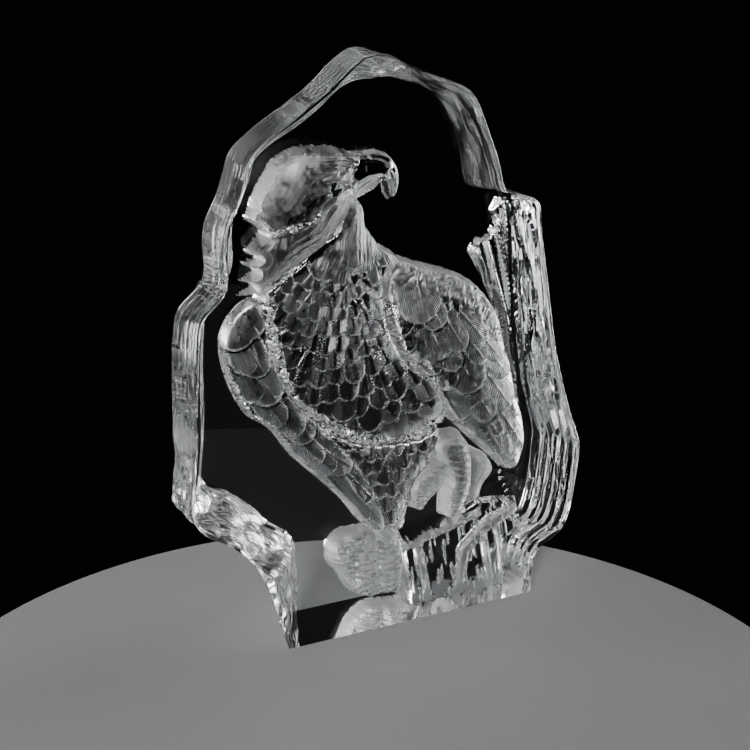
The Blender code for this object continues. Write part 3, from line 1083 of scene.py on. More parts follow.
    def dress_breast(self) -> None:
        """Scalloped feathers, clearer low on the left than above and on the right, with a flaky edge."""
        sheet = self.sheet
        self.skins["breast"].satin[:] = 0.3
        self.comb("breast", self.flow(), lift=0.4, depth=0.3)
        rougher = np.maximum(fade(sheet.across, start=-110, full=40), fade(sheet.up, start=480, full=580))
        fan = Feathers(sheet, BREAST_PLUMAGE, frost=0.34 + 0.20 * rougher).fan(BREAST_FAN)
        self.feather_up("breast", fan)
        self.flake("breast", self.ridge(BREAST_EDGE, half_width=20, plateau=0.5), BREAST_FLAKES)
        self.polish(("breast",), BREAST_SIDE, half_width=12, share=0.8)
        self.feather_up("belly", Feathers(sheet, BELLY_PLUMAGE).rows(BELLY_ROWS))

    def dress_wings(self) -> None:
        """Coverts and flight feathers, with rough leading edges."""
        sheet = self.sheet
        for name, rows in COVERT_ROWS.items():
            self.feather_up(name, Feathers(sheet, COVERT_PLUMAGE, seed=7).rows(rows))
        self.feather_up("right_wing", Feathers(sheet, FLIGHT_PLUMAGE, seed=5).drawn(RIGHT_WING_FEATHERS))
        self.feather_up("left_wing", Feathers(sheet, FLIGHT_PLUMAGE, seed=6).drawn(LEFT_WING_FEATHERS))
        top = np.interp(sheet.across, *np.array(WING_TOP, float).T)
        self.flake("right_wing", fade(sheet.up - top, start=-8, full=6), WING_TOP_FLAKES)
        rim = 1 - fade(self.depths["left_wing"], start=6, full=12)
        middle = fade(sheet.up, start=300, full=330) * (1 - fade(sheet.up, start=440, full=480))
        self.flake("left_wing", rim * middle, WING_RIM_FLAKES)
        self.skins["left_wing"].strand_depth *= 1 - 0.8 * fade(sheet.up, start=500, full=530)
        self.mottle("left_wing", pitch=26, lift=0.4, seed=61)
        self.mottle("right_wing", pitch=20, lift=0.8, seed=63)

    def dress_head(self) -> None:
        """Hair on the crown, cape and neck, and the mouth and brow of the face."""
        across, up = self.sheet.across, self.sheet.up
        self.comb("neck", self.flow(), lift=0.9, depth=0.3)
        foot = self.neck_foot + 14 * wobble(across, up, pitch=60, seed=19)
        self.heights["neck"] -= self.slope * np.clip(foot - up, 0, 120)
        stray = 0.6 * self.wander()
        self.comb("cape", self.depths["cape"] / self.cape_lock + stray, lift=1.2, depth=0.2)
        toward_face = fade(across, start=-170, full=-80)
        locks = self.depths["crown"] / self.crown_lock + stray
        self.comb("crown", locks, lift=1.6, depth=0.6, where=toward_face)
        for name in ("crown", "cape"):
            self.heights[name] -= self.slope * np.clip(across - self.face_start, 0, 60)
        self.heights["beak"] -= self.mouth_depth * self.ridge(MOUTH, half_width=4)
        clear_face = 0.9 * fade(across, start=-70, full=-60)
        self.skins["crown"].satin *= (1 - 0.45 * toward_face) * (1 - clear_face)
        for name, pitch, lift in (("crown", 34, 0.6), ("cape", 34, 0.8), ("neck", 30, 0.8)):
            self.mottle(name, pitch, lift, seed=51)
        for names, path, half_width, share in HEAD_BANDS:
            self.polish(names, path, half_width, share)
        for name in ("crown", "cape"):
            self.heights[name] -= self.socket_depth * self.ridge(EYE_SOCKET, half_width=22)
        for path, half_width, lift in FACE_LIGHTS:
            light = self.ridge(path, half_width, plateau=0.3)
            for name in ("crown", "cape", "beak", "jaw"):
                self.heights[name] += lift * light * (self.depths[name] > 0)
                self.skins[name].satin = np.maximum(self.skins[name].satin, light)
        self.flake("cape", self.ridge(CAPE_FLECKS, half_width=9), CAPE_FLAKES)

    def dress_feet(self) -> None:
        """Ribs and scales on the toes, and the lobes and creases of the far foot."""
        sheet = self.sheet
        for name, start, heading, pitch, lift in TOE_RIBS:
            turn = math.radians(heading)
            along = (sheet.across - start[0]) * math.cos(turn) + (sheet.up - start[1]) * math.sin(turn)
            self.comb(name, along / pitch, lift, depth=0.3)
        foot, inside = self.heights["far_foot"], self.depths["far_foot"] > 0
        for path, half_width in FOOT_LOBES:
            foot += self.lobe_lift * self.ridge(path, half_width, plateau=0.3) * inside
        for path, half_width in FOOT_CREASES:
            foot -= self.crease_depth * self.ridge(path, half_width)
            self.polish(("far_foot",), path, half_width, share=0.8)
        for name in ("thigh", "heel", "near_toe", "far_foot"):
            self.flake(name, np.full(sheet.across.shape, 0.35), FOOT_SCALES)

    def shape_rock(self) -> None:
        """Slants the rock's faces, and raises its frosted dashes and strips."""
        across, up = self.sheet.across, self.sheet.up
        rock, skin = self.depths["rock"] > 0, self.skins["rock"]
        self.heights["rock"] += rock * self.rock_slope * np.clip(self.rock_top - up, 0, 150)
        skin.satin[:] = 0.12
        dashes = fade(wobble(across, up / 4, pitch=13, seed=41), start=0.55, full=0.95) * rock
        skin.lift += self.dash_lift * dashes
        skin.satin += 0.8 * dashes
        for path, half_width in ROCK_STRIPS:
            strip = self.ridge(path, half_width, plateau=0.25) * rock
            skin.lift += self.strip_lift * strip
            skin.satin = np.maximum(skin.satin, fade(strip, start=0.3, full=0.8))

    def shape_cliff(self) -> None:
        """Raises the columns of the cliff, which run out toward its foot."""
        cliff, skin = self.depths["cliff"] > 0, self.skins["cliff"]
        for column in CLIFF_COLUMNS:
            strip = self.ridge(column, half_width=8) * cliff * fade(self.sheet.up, start=420, full=540)
            skin.lift += self.column_lift * strip
            skin.satin = np.maximum(skin.satin, 0.15 * fade(strip, start=0.4, full=0.9))

    def settle(self) -> None:
        """Takes the highest form at each place, with its finish."""
        sheet = self.sheet
        names = list(self.forms)
        stack = np.stack([self.heights[name] + self.skins[name].lift for name in names])
        top = stack.argmax(axis=0)
        sheet.height = np.minimum(stack.max(axis=0), self.most_carved * self.sizes.thickness(sheet.up))
        carved = sheet.height > 0
        for index, name in enumerate(names):
            here, skin = (top == index) & carved, self.skins[name]
            sheet.satin[here] = skin.satin[here]
            sheet.strand[here] = skin.strand[here]
            sheet.strand_depth[here] = skin.strand_depth[here]
            LOG.info("%s shows at %d places of the sheet", name, here.sum())


@dataclass
class Wall:
    """The moulded wall between the polished front and the back.

    Attributes:
        sizes: The block's sizes.
        curve_steps: Steps between each two points of the outline.
        outline_step: Distance between the wall's points along the outline.
        rings: Rings of points from front to back.
        round_depths: Shares of the depth of the rings on the rounded front edge.
        front_round: How far that edge is rounded.
        ridge_depth: Share of the depth at which the wall's ridge stands.
        ridge_blend: Height of the ridge from which it is shaped as one.
        shoulder: Point that the wall stands out from; below it, only sideways.
        flute_depth: Depth of the grooves on the cliff side.
        first_flute: Share of the depth at which the first ridge between them runs.
        flute_pitch: Share of the depth between those ridges.
        flute_sway: How far the grooves sway, as a share of their pitch.
        groove_fade: Share of the depth over which grooves and pocks start and end.
        pock_depth: Depth of the pocks, in metres.
        pock_size: Distance between them, in metres.
        pock_seed: Which pocks.
        faint_pocks: Weight of the pocks all over the wall.
        faint_from: Height from which the wall has them.
        top_from: Height from which the top's pocks are weighed.
    """

    sizes: BlockSizes
    curve_steps: int = 12
    outline_step: float = 5.0
    rings: int = 40
    round_depths: tuple[float, ...] = (0.0, 0.004, 0.009, 0.016)
    front_round: float = 3.0
    ridge_depth: float = 0.45
    ridge_blend: float = 2.0
    shoulder: Point = (0.0, 700.0)
    flute_depth: float = 13.0
    first_flute: float = 0.10
    flute_pitch: float = 0.165
    flute_sway: float = 0.16
    groove_fade: float = 0.12
    pock_depth: float = 0.0020
    pock_size: float = 0.0080
    pock_seed: float = 3.0
    faint_pocks: float = 0.10
    faint_from: float = 8.0
    top_from: float = 740.0

    def rows(self) -> Grid:
        """The outline's rows, drawn as a soft curve.

        Returns:
            Rows of across, up, outset and inset.
        """
        curve = smooth_curve(np.array(OUTLINE, float), self.curve_steps, False)
        gaps = np.hypot(*np.diff(curve[:, :2], axis=0).T)
        along = np.concatenate([[0], np.cumsum(gaps)])
        count = round(along[-1] / self.outline_step)
        places = np.linspace(0, along[-1], count + 1)
        rows = np.stack([np.interp(places, along, column) for column in curve.T], axis=1)
        rows[:, 2:] = np.maximum(rows[:, 2:], 0)
        return rows

    def ring(self, rows: Grid, depth: float) -> Grid:
        """Points of the wall at a share of the block's depth.

        Args:
            rows: The outline's rows.
            depth: The share.

        Returns:
            Across and up of each point.
        """
        across, up, outset, inset = rows.T
        rising = outset * math.sin(math.pi / 2 * min(depth / self.ridge_depth, 1))
        falling = outset - (outset + inset) * (depth - self.ridge_depth) / (1 - self.ridge_depth)
        ridged = rising if depth < self.ridge_depth else falling
        plain = -inset * depth
        blend = fade(outset, 0, self.ridge_blend)
        out = ridged * blend + plain * (1 - blend)
        out = out - self.front_round * (1 - math.sqrt(min(depth / self.round_depths[-1], 1)))
        out = out - self.ease(depth) * self.flutes(across, up, depth)
        middle, highest = self.shoulder
        aside, above = across - middle, up - np.minimum(up, highest)
        reach = np.hypot(aside, above)
        place = np.stack([across + out * aside / reach, up + out * above / reach], axis=1)
        place[:, 1] = np.where(up <= 0, 0, np.maximum(place[:, 1], 0))
        return place

    def ease(self, depth: float) -> float:
        """How far grooves and pocks have started at a share of the depth, and not ended yet."""
        return min(depth / self.groove_fade, (1 - depth) / self.groove_fade, 1.0)

    def flutes(self, across: Grid, up: Grid, depth: float) -> Grid:
        """Grooves that run up the cliff side of the wall.

        Args:
            across: Places across.
            up: Places up.
            depth: Share of the block's depth.

        Returns:
            Depth of the grooves.
        """
        turn = (depth - self.first_flute) / self.flute_pitch
        turn = turn + self.flute_sway * wobble(up * 0, up, pitch=420, seed=5)
        groove = (1 - np.abs(np.cos(math.pi * turn))) ** 1.5
        weight = (across > 0) * fade(up, start=20, full=60) * (1 - fade(up, start=700, full=735))
        return self.flute_depth * weight * groove

    def depths(self) -> Grid:
        """Shares of the depth at which the wall has a ring of points."""
        plain = np.linspace(self.round_depths[-1], 1.0, self.rings + 1)[1:]
        return np.concatenate([np.array(self.round_depths), plain])

    def pock_weight(self, across: float, up: float, depth: float) -> float:
        """How strongly the wall is pocked at a place.

        Args:
            across: Place across.
            up: Place up.
            depth: Share of the block's depth.

        Returns:
            A weight from 0 to 1.
        """
        low = float(np.interp(up, *zip(*LOW_POCKS))) if across < 0 else 0.0
        top = float(np.interp(across, *zip(*TOP_POCKS))) if up > self.top_from else 0.0
        faint = self.faint_pocks if up > self.faint_from else 0.0
        return max(low, top, faint) * self.ease(depth)


@dataclass
class NodeGraph:
    """Adds and links the nodes of one tree."""

    tree: bpy.types.NodeTree

    def add(self, kind: str, operation: str | None = None) -> bpy.types.Node:
        """A new node.

        Args:
            kind: Its type.
            operation: What it works out, where it has the choice.

        Returns:
            The node.
        """
        node = self.tree.nodes.new(kind)
        if operation is not None:
            node.operation = operation
        return node

    def link(self, output: bpy.types.NodeSocket, given: bpy.types.NodeSocket) -> None:
        """Links a node's output to an input."""
        self.tree.links.new(output, given)

    def calculate(self, operation: str, first: Value, second: Value) -> bpy.types.NodeSocket:
        """A Math node between two values or sockets.

        Args:
            operation: What it works out.
            first: First value or socket.
            second: Second value or socket.

        Returns:
            Its output.
        """
        node = self.add("ShaderNodeMath", operation)
        for given, value in zip(node.inputs, (first, second)):
            if isinstance(value, float):
                given.default_value = value
            else:
                self.link(value, given)
        return node.outputs[0]

    def product(self, *factors: Value) -> bpy.types.NodeSocket:
        """The product of two or more values or sockets.

        Args:
            factors: The values or sockets.

        Returns:
            Its socket.
        """
        total = factors[0]
        for factor in factors[1:]:
            total = self.calculate("MULTIPLY", total, factor)
        return total

    def attribute(self, name: str) -> bpy.types.NodeSocket:
        """A value that the mesh carries on its corners.

        Args:
            name: The value's name.

        Returns:
            Its socket.
        """
        node = self.add("ShaderNodeAttribute")
        node.attribute_name = name
        return node.outputs["Fac"]


def add_object(name: str, data: bpy.types.ID) -> bpy.types.Object:
    """Puts a mesh, light or camera into the scene.

    Args:
        name: The object's name.
        data: What it shows.

    Returns:
        The object.
    """
    item = bpy.data.objects.new(name, data)
    bpy.context.scene.collection.objects.link(item)
    return item


def applied(item: bpy.types.Object) -> bpy.types.Mesh:
    """A plain mesh of an object with its modifiers.

    Args:
        item: The object.

    Returns:
        The mesh.
    """
    return bpy.data.meshes.new_from_object(item.evaluated_get(bpy.context.evaluated_depsgraph_get()))


def read(items: bpy.types.bpy_prop_collection, name: str, width: int = 1, kind: type = float) -> Grid:
    """One value of each item of a mesh.

    Args:
        items: The mesh's points, faces, edges or corners.
        name: The value's name.
        width: How many numbers each value has.
        kind: Kind of number.

    Returns:
        The numbers, one after the other.
    """
    values = np.empty(len(items) * width, kind)
    items.foreach_get(name, values)
    return values


@dataclass
class CrystalBlock:
    """The whole trophy: a block with the carving taken out of its back.

    Attributes:
        sizes: The block's sizes.
        wall: Its wall.
        carving: What is taken out of it.
        clearance: How far behind the back the cutter starts.
        flat_tolerance: How far off a polished flat a point may be, in metres.
        carved_tolerance: How far off the carving's height a carved point may be.
        box_margin: How far inside the solid's sides the mesh stays, in metres.
        crease_degrees: Angle from which an edge is a crease.
    """

    sizes: BlockSizes
    wall: Wall
    carving: Carving
    clearance: float = 8.0
    flat_tolerance: float = 3e-5
    carved_tolerance: float = 4.0
    box_margin: float = 0.00002
    crease_degrees: float = 38.0
    rows: Grid = field(init=False)
    offset: float = field(init=False)

    def __post_init__(self) -> None:
        """Draws the outline and finds how far the block is moved across to stand over the origin."""
        self.rows = self.wall.rows()
        self.offset = -self.sizes.middle * self.sizes.share

    def body(self) -> bpy.types.Mesh:
        """The uncut block.

        Returns:
            Its mesh, with the pocks' weight on its points.
        """
        sizes, draft = self.sizes, bmesh.new()
        weight = draft.verts.layers.float.new("pock")
        rings = []
        for depth in self.wall.depths():
            ring = []
            for (across, up), row in zip(self.wall.ring(self.rows, float(depth)), self.rows):
                y = sizes.front_face + depth * float(sizes.thickness(up)) * sizes.share
                vertex = draft.verts.new((across * sizes.share + self.offset, y, up * sizes.share))
                vertex[weight] = self.wall.pock_weight(row[0], row[1], float(depth))
                ring.append(vertex)
            rings.append(ring)
        count = len(self.rows)
        for front, back in zip(rings[:-1], rings[1:]):
            for place in range(count):
                after = (place + 1) % count
                draft.faces.new((front[place], front[after], back[after], back[place]))
        draft.faces.new(rings[0])
        draft.faces.new(rings[-1])
        bmesh.ops.recalc_face_normals(draft, faces=draft.faces)
        mesh = bpy.data.meshes.new("block_body")
        draft.to_mesh(mesh)
        draft.free()
        return mesh

    def cutter(self) -> bpy.types.Mesh:
        """What is taken out of the back: the carving's surface, closed behind the block.

        Returns:
            Its mesh.
        """
        sizes, sheet = self.sizes, self.carving.sheet
        height = np.maximum(sheet.height, -self.clearance)
        x = sheet.across * sizes.share + self.offset
        y = sizes.front_face + (sizes.thickness(sheet.up) - height) * sizes.share
        points = np.stack([x, y, sheet.up * sizes.share], axis=-1).reshape(-1, 3)
        index = np.arange(sheet.rows * sheet.columns).reshape(sheet.rows, sheet.columns)
        corners = (index[:-1, :-1], index[:-1, 1:], index[1:, 1:], index[1:, :-1])
        mesh = bpy.data.meshes.new("carving_cutter")
        mesh.from_pydata(points.tolist(), [], np.stack(corners, axis=-1).reshape(-1, 4).tolist())
        draft = bmesh.new()
        draft.from_mesh(mesh)
        rim = [edge for edge in draft.edges if edge.is_boundary]
        behind = sizes.front_face + sizes.base_thickness + 2 * self.clearance * sizes.share
        for part in bmesh.ops.extrude_edge_only(draft, edges=rim)["geom"]:
            if isinstance(part, bmesh.types.BMVert):
                part.co.y = behind
        bmesh.ops.contextual_create(draft, geom=[edge for edge in draft.edges if edge.is_boundary])
        bmesh.ops.recalc_face_normals(draft, faces=draft.faces)
        draft.to_mesh(mesh)
        draft.free()
        return mesh

    def pock_modifier(self, item: bpy.types.Object, material: bpy.types.Material) -> None:
        """Gives an object the Geometry Nodes that press the mould's pocks into it.

        Args:
            item: The object, with the pocks' weight on its points.
            material: The crystal.
        """
        tree = bpy.data.node_groups.new("moulded_pocks", "GeometryNodeTree")
        sockets, graph = tree.interface, NodeGraph(tree)
        settings = {
            "Pock Depth": self.wall.pock_depth, "Pock Size": self.wall.pock_size, "Seed": self.wall.pock_seed,
        }
        sockets.new_socket("Geometry", in_out="INPUT", socket_type="NodeSocketGeometry")
        identifiers = {
            name: sockets.new_socket(name, in_out="INPUT", socket_type="NodeSocketFloat").identifier
            for name in settings
        }
        sockets.new_socket("Geometry", in_out="OUTPUT", socket_type="NodeSocketGeometry")
        given, done = graph.add("NodeGroupInput"), graph.add("NodeGroupOutput")
        weight = graph.add("GeometryNodeInputNamedAttribute")
        weight.inputs["Name"].default_value = "pock"
        cells = graph.add("ShaderNodeTexVoronoi")
        cells.voronoi_dimensions = "4D"
        graph.link(graph.add("GeometryNodeInputPosition").outputs[0], cells.inputs["Vector"])
        graph.link(given.outputs["Seed"], cells.inputs["W"])
        graph.link(graph.calculate("DIVIDE", 1.0, given.outputs["Pock Size"]), cells.inputs["Scale"])
        squared = graph.product(cells.outputs["Distance"], cells.outputs["Distance"])
        bowl = graph.calculate("SUBTRACT", 1.0, squared)
        inward = graph.product(bowl, weight.outputs["Attribute"], given.outputs["Pock Depth"], -1.0)
        move = graph.add("ShaderNodeVectorMath", "SCALE")
        graph.link(graph.add("GeometryNodeInputNormal").outputs[0], move.inputs[0])
        graph.link(inward, move.inputs["Scale"])
        shift, realize = graph.add("GeometryNodeSetPosition"), graph.add("GeometryNodeRealizeInstances")
        finish = graph.add("GeometryNodeSetMaterial")
        finish.inputs["Material"].default_value = material
        graph.link(given.outputs["Geometry"], shift.inputs["Geometry"])
        graph.link(move.outputs[0], shift.inputs["Offset"])
        graph.link(shift.outputs[0], realize.inputs[0])
        graph.link(realize.outputs[0], finish.inputs["Geometry"])
        graph.link(finish.outputs[0], done.inputs[0])
        modifier = item.modifiers.new("moulded_pocks", "NODES")
        modifier.node_group = tree
        for name, value in settings.items():
            modifier[identifiers[name]] = value

    def pocked(self, body: bpy.types.Mesh, material: bpy.types.Material) -> bpy.types.Mesh:
        """The block with the mould's pocks pressed into its wall.

        Args:
            body: The uncut block.
            material: The crystal.

        Returns:
            A plain mesh.
        """
        item = add_object("block_body", body)
        self.pock_modifier(item, material)
        plain = applied(item)
        bpy.data.objects.remove(item)
        self.keep_within(plain)
        return plain

    def keep_within(self, mesh: bpy.types.Mesh) -> None:
        """Keeps a mesh inside the solid's box.

        Args:
            mesh: The mesh.
        """
        low, high = (np.array(corner) for corner in CAD_BOX)
        sides = np.array([self.box_margin, 0.0, 0.0])
        points = np.clip(read(mesh.vertices, "co", 3).reshape(-1, 3), low + sides, high - sides)
        mesh.vertices.foreach_set("co", points.ravel())

    def carve(self, body: bpy.types.Mesh, cutter: bpy.types.Mesh) -> bpy.types.Mesh:
        """Takes the carving out of the block.

        Args:
            body: The pocked block.
            cutter: What is taken out.

        Returns:
            A plain mesh.
        """
        items = [add_object(mesh.name, mesh) for mesh in (body, cutter)]
        cut = items[0].modifiers.new("carve", "BOOLEAN")
        cut.operation = "DIFFERENCE"
        cut.solver = "MANIFOLD"
        cut.object = items[1]
        mesh = applied(items[0])
        for item in items:
            bpy.data.objects.remove(item)
        return mesh

    def find_flats(self, mesh: bpy.types.Mesh) -> list[Flat]:
        """Puts points that are a hair off the polished back onto it, and finds the polished flats.

        Args:
            mesh: The carved block.

        Returns:
            For the front, back and base, which corners of the mesh are on its faces, and its normal.
        """
        sizes = self.sizes
        points, corner = read(mesh.vertices, "co", 3), read(mesh.loops, "vertex_index", kind=int)
        y, z = points.reshape(-1, 3).T[1:]
        back = sizes.front_face + sizes.thickness(z / sizes.share) * sizes.share
        y[:] = np.where(np.abs(y - back) < self.flat_tolerance, back, y)
        mesh.vertices.foreach_set("co", points)
        lean = math.atan2(sizes.base_thickness - sizes.top_thickness, sizes.height)
        sides = read(mesh.polygons, "loop_total", kind=int)
        starts = read(mesh.polygons, "loop_start", kind=int)
        gaps = (y - sizes.front_face, y - back, z)
        ways = ((0, -1, 0), (0, math.cos(lean), math.sin(lean)), (0, 0, -1))
        found = []
        for gap, way in zip(gaps, ways):
            level = np.minimum.reduceat(np.abs(gap)[corner] < self.flat_tolerance, starts)
            found.append((np.repeat(level, sides), way))
            LOG.info("%d faces of the polished flat %s", level.sum(), way)
        return found

    def mark_finish(self, mesh: bpy.types.Mesh, polished: Grid) -> None:
        """Writes how each corner of the surface is left by the mould, for the crystal's shader.

        Args:
            mesh: The carved block.
            polished: Which corners are on a polished flat.
        """
        sizes, sheet = self.sizes, self.carving.sheet
        corner = read(mesh.loops, "vertex_index", kind=int)
        x, y, z = read(mesh.vertices, "co", 3).reshape(-1, 3).T
        across, up = (x - self.offset) / sizes.share, z / sizes.share
        depth = (y - sizes.front_face) / sizes.share
        thickness = sizes.thickness(up)
        height = sheet.sample(sheet.height, across, up)
        carved = (height > 0) & (np.abs(thickness - height - depth) < self.carved_tolerance)
        share = np.clip(depth / thickness, 0, 1)
        between = fade(share, start=0.01, full=0.05) * (1 - fade(share, start=0.95, full=0.99))
        fluted = fade(across, start=180, full=240) * (1 - fade(up, start=720, full=760))
        layers = {
            "satin": np.where(carved, sheet.sample(sheet.satin, across, up), 0),
            "strand": np.where(carved, sheet.sample(sheet.strand, across, up), 0),
            "strand_depth": np.where(carved, sheet.sample(sheet.strand_depth, across, up), 0),
            "wall": np.where(carved, 0, between * (1 - fluted)),
            "wall_depth": share * thickness,
        }
        for name, layer in layers.items():
            values = np.where(polished, 0, layer[corner]).astype(np.float32)
            mesh.attributes.new(name, "FLOAT", "CORNER").data.foreach_set("value", values)

    def set_shading(self, mesh: bpy.types.Mesh, flats: list[Flat]) -> None:
        """Smooth shading over the moulded surface, and true normals on the polished flats.

        Args:
            mesh: The carved block.
            flats: Corners and normal of each polished flat.
        """
        mesh.polygons.foreach_set("use_smooth", np.ones(len(mesh.polygons), bool))
        mesh.set_sharp_from_angle(angle=math.radians(self.crease_degrees))
        normals = read(mesh.corner_normals, "vector", 3).reshape(-1, 3)
        edge_of = read(mesh.loops, "edge_index", kind=int)
        sharp = read(mesh.edges, "use_edge_sharp", kind=bool)
        for in_flat, way in flats:
            normals[in_flat] = way
            sharp |= np.bincount(edge_of[in_flat], minlength=len(sharp)) == 1
        mesh.edges.foreach_set("use_edge_sharp", sharp)
        mesh.normals_split_custom_set(normals)

    def build(self, material: bpy.types.Material) -> bpy.types.Object:
        """The finished block as an object.

        Args:
            material: The crystal.

        Returns:
            The object.
        """
        mesh = self.carve(self.pocked(self.body(), material), self.cutter())
        flats = self.find_flats(mesh)
        self.mark_finish(mesh, np.any([in_flat for in_flat, _ in flats], axis=0))
        self.set_shading(mesh, flats)
        mesh.materials.clear()
        mesh.materials.append(material)
        mesh.name = PIECE
        piece = add_object(PIECE, mesh)
        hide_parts(BLOCK_NODE)
        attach(piece, "root")
        LOG.info("%s: %d faces, %d points", piece.name, len(mesh.polygons), len(mesh.vertices))
        return piece


@dataclass(frozen=True)
class CrystalFinish:
    """Clear crystal, silky or frosted where the mould was left rough.

    Attributes:
        tint: Its colour.
        ior: How strongly it bends light.
        transmission: How clear it is.
        frosted_roughness: Roughness where it is frosted.
        wall_roughness: Roughness of the wall.
        strand_bump: Height of the barbs and strands, in metres.
        grain_bump: Height of the frost's grain, in metres.
        grain_scale: How fine that grain is.
        grain_detail: How many finer grains it has in it.
        grain_bias: Least share of the roughness in the grain's hollows.
        streak_bump: Height of the wall's lines, in metres.
        streak_pitch: Distance between them, in thousandths.
        streak_scale: How fast they change along the wall.
        streak_detail: How many finer lines they have in them.
    """

    tint: Colour = (0.97, 0.985, 0.99, 1.0)
    ior: float = 1.52
    transmission: float = 1.0
    frosted_roughness: float = 0.68
    wall_roughness: float = 0.025
    strand_bump: float = 0.00010
    grain_bump: float = 0.00004
    grain_scale: float = 420.0
    grain_detail: float = 4.0
    grain_bias: float = 0.5
    streak_bump: float = 0.00030
    streak_pitch: float = 7.0
    streak_scale: float = 16.0
    streak_detail: float = 2.0

    def material(self) -> bpy.types.Material:
        """The crystal's material.

        Returns:
            The material.
        """
        material = bpy.data.materials.new("clear_crystal")
        material.use_nodes = True
        graph = NodeGraph(material.node_tree)
        shader = material.node_tree.nodes["Principled BSDF"]
        shader.inputs["Base Color"].default_value = self.tint
        shader.inputs["IOR"].default_value = self.ior
        shader.inputs["Transmission Weight"].default_value = self.transmission
        satin, wall = graph.attribute("satin"), graph.attribute("wall")
        place = graph.add("ShaderNodeTexCoord").outputs["Object"]
        grain_node = graph.add("ShaderNodeTexNoise")
        grain_node.inputs["Scale"].default_value = self.grain_scale
        grain_node.inputs["Detail"].default_value = self.grain_detail
        graph.link(place, grain_node.inputs["Vector"])
        grain = grain_node.outputs["Fac"]
        patchy = graph.calculate("ADD", grain, self.grain_bias)
        rough = graph.product(satin, self.frosted_roughness, patchy)
        rough = graph.calculate("ADD", rough, graph.product(wall, self.wall_roughness))
        graph.link(rough, shader.inputs["Roughness"])
        turn = graph.product(graph.attribute("strand"), math.tau)
        wave = graph.product(
            graph.calculate("SINE", turn, 0.0), graph.attribute("strand_depth"), self.strand_bump
        )
        fine = graph.calculate("ADD", wave, graph.product(grain, satin, self.grain_bump))
        bump = graph.add("ShaderNodeBump")
        bump.inputs["Distance"].default_value = 1.0
        graph.link(graph.calculate("ADD", fine, self.streaks(graph, place, wall)), bump.inputs["Height"])
        graph.link(bump.outputs["Normal"], shader.inputs["Normal"])
        return material

    def streaks(
        self, graph: NodeGraph, place: bpy.types.NodeSocket, wall: bpy.types.NodeSocket
    ) -> bpy.types.NodeSocket:
        """Lines that the mould leaves along the wall, side by side from front to back.

        Args:
            graph: The material's nodes.
            place: Place on the object.
            wall: Weight of the wall.

        Returns:
            Their height.
        """
        slow = graph.add("ShaderNodeVectorMath", "SCALE")
        slow.inputs["Scale"].default_value = self.streak_scale
        graph.link(place, slow.inputs[0])
        split, joined = graph.add("ShaderNodeSeparateXYZ"), graph.add("ShaderNodeCombineXYZ")
        graph.link(slow.outputs[0], split.inputs[0])
        graph.link(split.outputs["X"], joined.inputs["X"])
        graph.link(split.outputs["Z"], joined.inputs["Z"])
        number = graph.calculate("DIVIDE", graph.attribute("wall_depth"), self.streak_pitch)
        graph.link(number, joined.inputs["Y"])
        lines = graph.add("ShaderNodeTexNoise")
        lines.inputs["Scale"].default_value = 1.0
        lines.inputs["Detail"].default_value = self.streak_detail
        graph.link(joined.outputs[0], lines.inputs["Vector"])
        return graph.product(lines.outputs["Fac"], wall, self.streak_bump)


@dataclass(frozen=True)
class Softbox:
    """One soft studio light and the point that it is aimed at.

    Attributes:
        name: Its name.
        place: Where it stands.
        size: Its width and height.
        power: Its power, in watts.
        aim: The point that it is aimed at.
        spread_degrees: How widely it shines.
    """

    name: str
    place: Triple
    size: Point
    power: float
    aim: Triple = (0.0, 0.0, 0.10)
    spread_degrees: float = 120.0


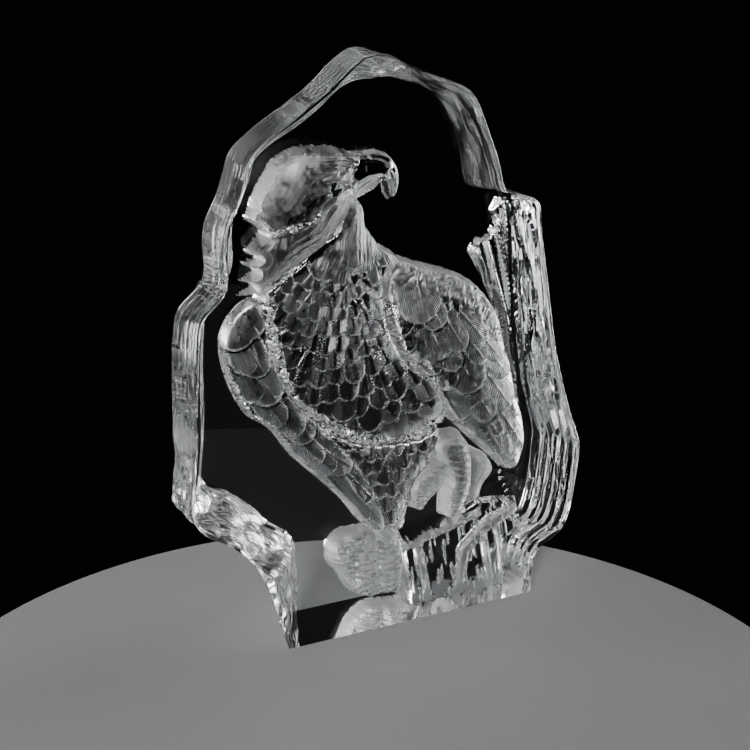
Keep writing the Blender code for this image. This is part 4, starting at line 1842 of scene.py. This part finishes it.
@dataclass
class Studio:
    """Floor, lights and camera around the block.

    Attributes:
        target: The point that the camera looks at.
        view_degrees: How far to the left of the front it stands.
        look_down_degrees: How steeply it looks down.
        distance: How far off it stands.
        focal_pixels: Its focal length, in pixels of the photograph.
        sensor_width: Width of its sensor, in millimetres.
        clip_start: Nearest thing that it sees.
        floor_radius: Radius of the floor.
        floor_middle: Where its middle lies; a hair lower than the block, so that the base mirrors.
        floor_sides: Sides of the round floor.
        floor_grey: Its colour.
        floor_roughness: How rough it is.
        world_grey: Brightness of the surround.
        bounces: How often light bounces or passes on through the crystal.
        glossy_bounces: How often it is mirrored.
        look: The picture's contrast.
        softboxes: The lights.
    """

    target: Triple
    view_degrees: float = 26.6
    look_down_degrees: float = 20.0
    distance: float = 0.600
    focal_pixels: float = 1748.0
    sensor_width: float = 36.0
    clip_start: float = 0.01
    floor_radius: float = 0.150
    floor_middle: Triple = (-0.040, -0.080, -0.0003)
    floor_sides: int = 128
    floor_grey: Colour = (0.50, 0.505, 0.51, 1.0)
    floor_roughness: float = 0.6
    world_grey: float = 0.003
    bounces: int = 24
    glossy_bounces: int = 20
    look: str = "AgX - Medium High Contrast"
    softboxes: tuple[Softbox, ...] = (
        Softbox("left_strip", place=(-1.60, 0.70, 0.05), size=(0.55, 0.80), power=8.8),
        Softbox("right_strip", place=(1.70, 0.20, 0.05), size=(0.70, 0.80), power=11.5),
        Softbox("back_strip", place=(-0.10, 1.80, 0.34), size=(1.20, 0.34), power=2.4),
        Softbox("front_key", place=(-1.05, -1.50, 0.62), size=(0.60, 0.60), power=13.0),
    )

    def build(self) -> None:
        """Sets up the studio."""
        self.add_floor()
        for softbox in self.softboxes:
            self.add_softbox(softbox)
        self.add_world()
        self.add_camera()
        cycles, view = bpy.context.scene.cycles, bpy.context.scene.view_settings
        cycles.max_bounces = cycles.transmission_bounces = self.bounces
        cycles.glossy_bounces = self.glossy_bounces
        view.view_transform = "AgX"
        view.look = self.look

    def add_floor(self) -> None:
        """A plain pale round floor."""
        draft = bmesh.new()
        bmesh.ops.create_circle(
            draft, cap_ends=True, segments=self.floor_sides, radius=self.floor_radius,
            matrix=Matrix.Translation(self.floor_middle),
        )
        mesh = bpy.data.meshes.new("floor")
        draft.to_mesh(mesh)
        draft.free()
        material = bpy.data.materials.new("pale_floor")
        material.use_nodes = True
        shader = material.node_tree.nodes["Principled BSDF"]
        shader.inputs["Base Color"].default_value = self.floor_grey
        shader.inputs["Roughness"].default_value = self.floor_roughness
        mesh.materials.append(material)
        add_object("floor", mesh)
        LOG.info("floor of %.2f m across", 2 * self.floor_radius)

    @staticmethod
    def add_softbox(softbox: Softbox) -> None:
        """One area light.

        Args:
            softbox: What it is like.
        """
        light = bpy.data.lights.new(softbox.name, "AREA")
        light.shape = "RECTANGLE"
        light.size, light.size_y = softbox.size
        light.energy = softbox.power
        light.spread = math.radians(softbox.spread_degrees)
        item = add_object(softbox.name, light)
        item.location = softbox.place
        away = Vector(softbox.aim) - Vector(softbox.place)
        item.rotation_euler = away.to_track_quat("-Z", "Y").to_euler()
        LOG.info("light %s of %.1f W", softbox.name, softbox.power)

    def add_world(self) -> None:
        """A dark, even surround."""
        world = bpy.data.worlds.new("dark_surround")
        world.use_nodes = True
        world.node_tree.nodes["Background"].inputs["Color"].default_value = (self.world_grey,) * 3 + (1.0,)
        bpy.context.scene.world = world

    def add_camera(self) -> None:
        """The camera at the photograph's viewing angle."""
        turn, tilt = math.radians(self.view_degrees), math.radians(self.look_down_degrees)
        back = Vector((-math.sin(turn) * math.cos(tilt), -math.cos(turn) * math.cos(tilt), math.sin(tilt)))
        data = bpy.data.cameras.new("camera")
        data.sensor_width = self.sensor_width
        data.lens = self.focal_pixels * self.sensor_width / IMAGE_PIXELS
        data.clip_start = self.clip_start
        camera = add_object("camera", data)
        camera.location = Vector(self.target) + back * self.distance
        camera.rotation_euler = (-back).to_track_quat("-Z", "Y").to_euler()
        bpy.context.scene.camera = camera


def main() -> None:
    """Builds the dressed block and the studio around it."""
    logging.basicConfig(level=logging.INFO, format="%(name)s: %(message)s")
    sizes = BlockSizes()
    carving = Carving(sizes, Sheet())
    carving.dress()
    block = CrystalBlock(sizes, Wall(sizes), carving)
    block.build(CrystalFinish().material())
    Studio(target=(block.offset, 0.0, AIM_HEIGHT)).build()


if __name__ == "__main__":
    main()
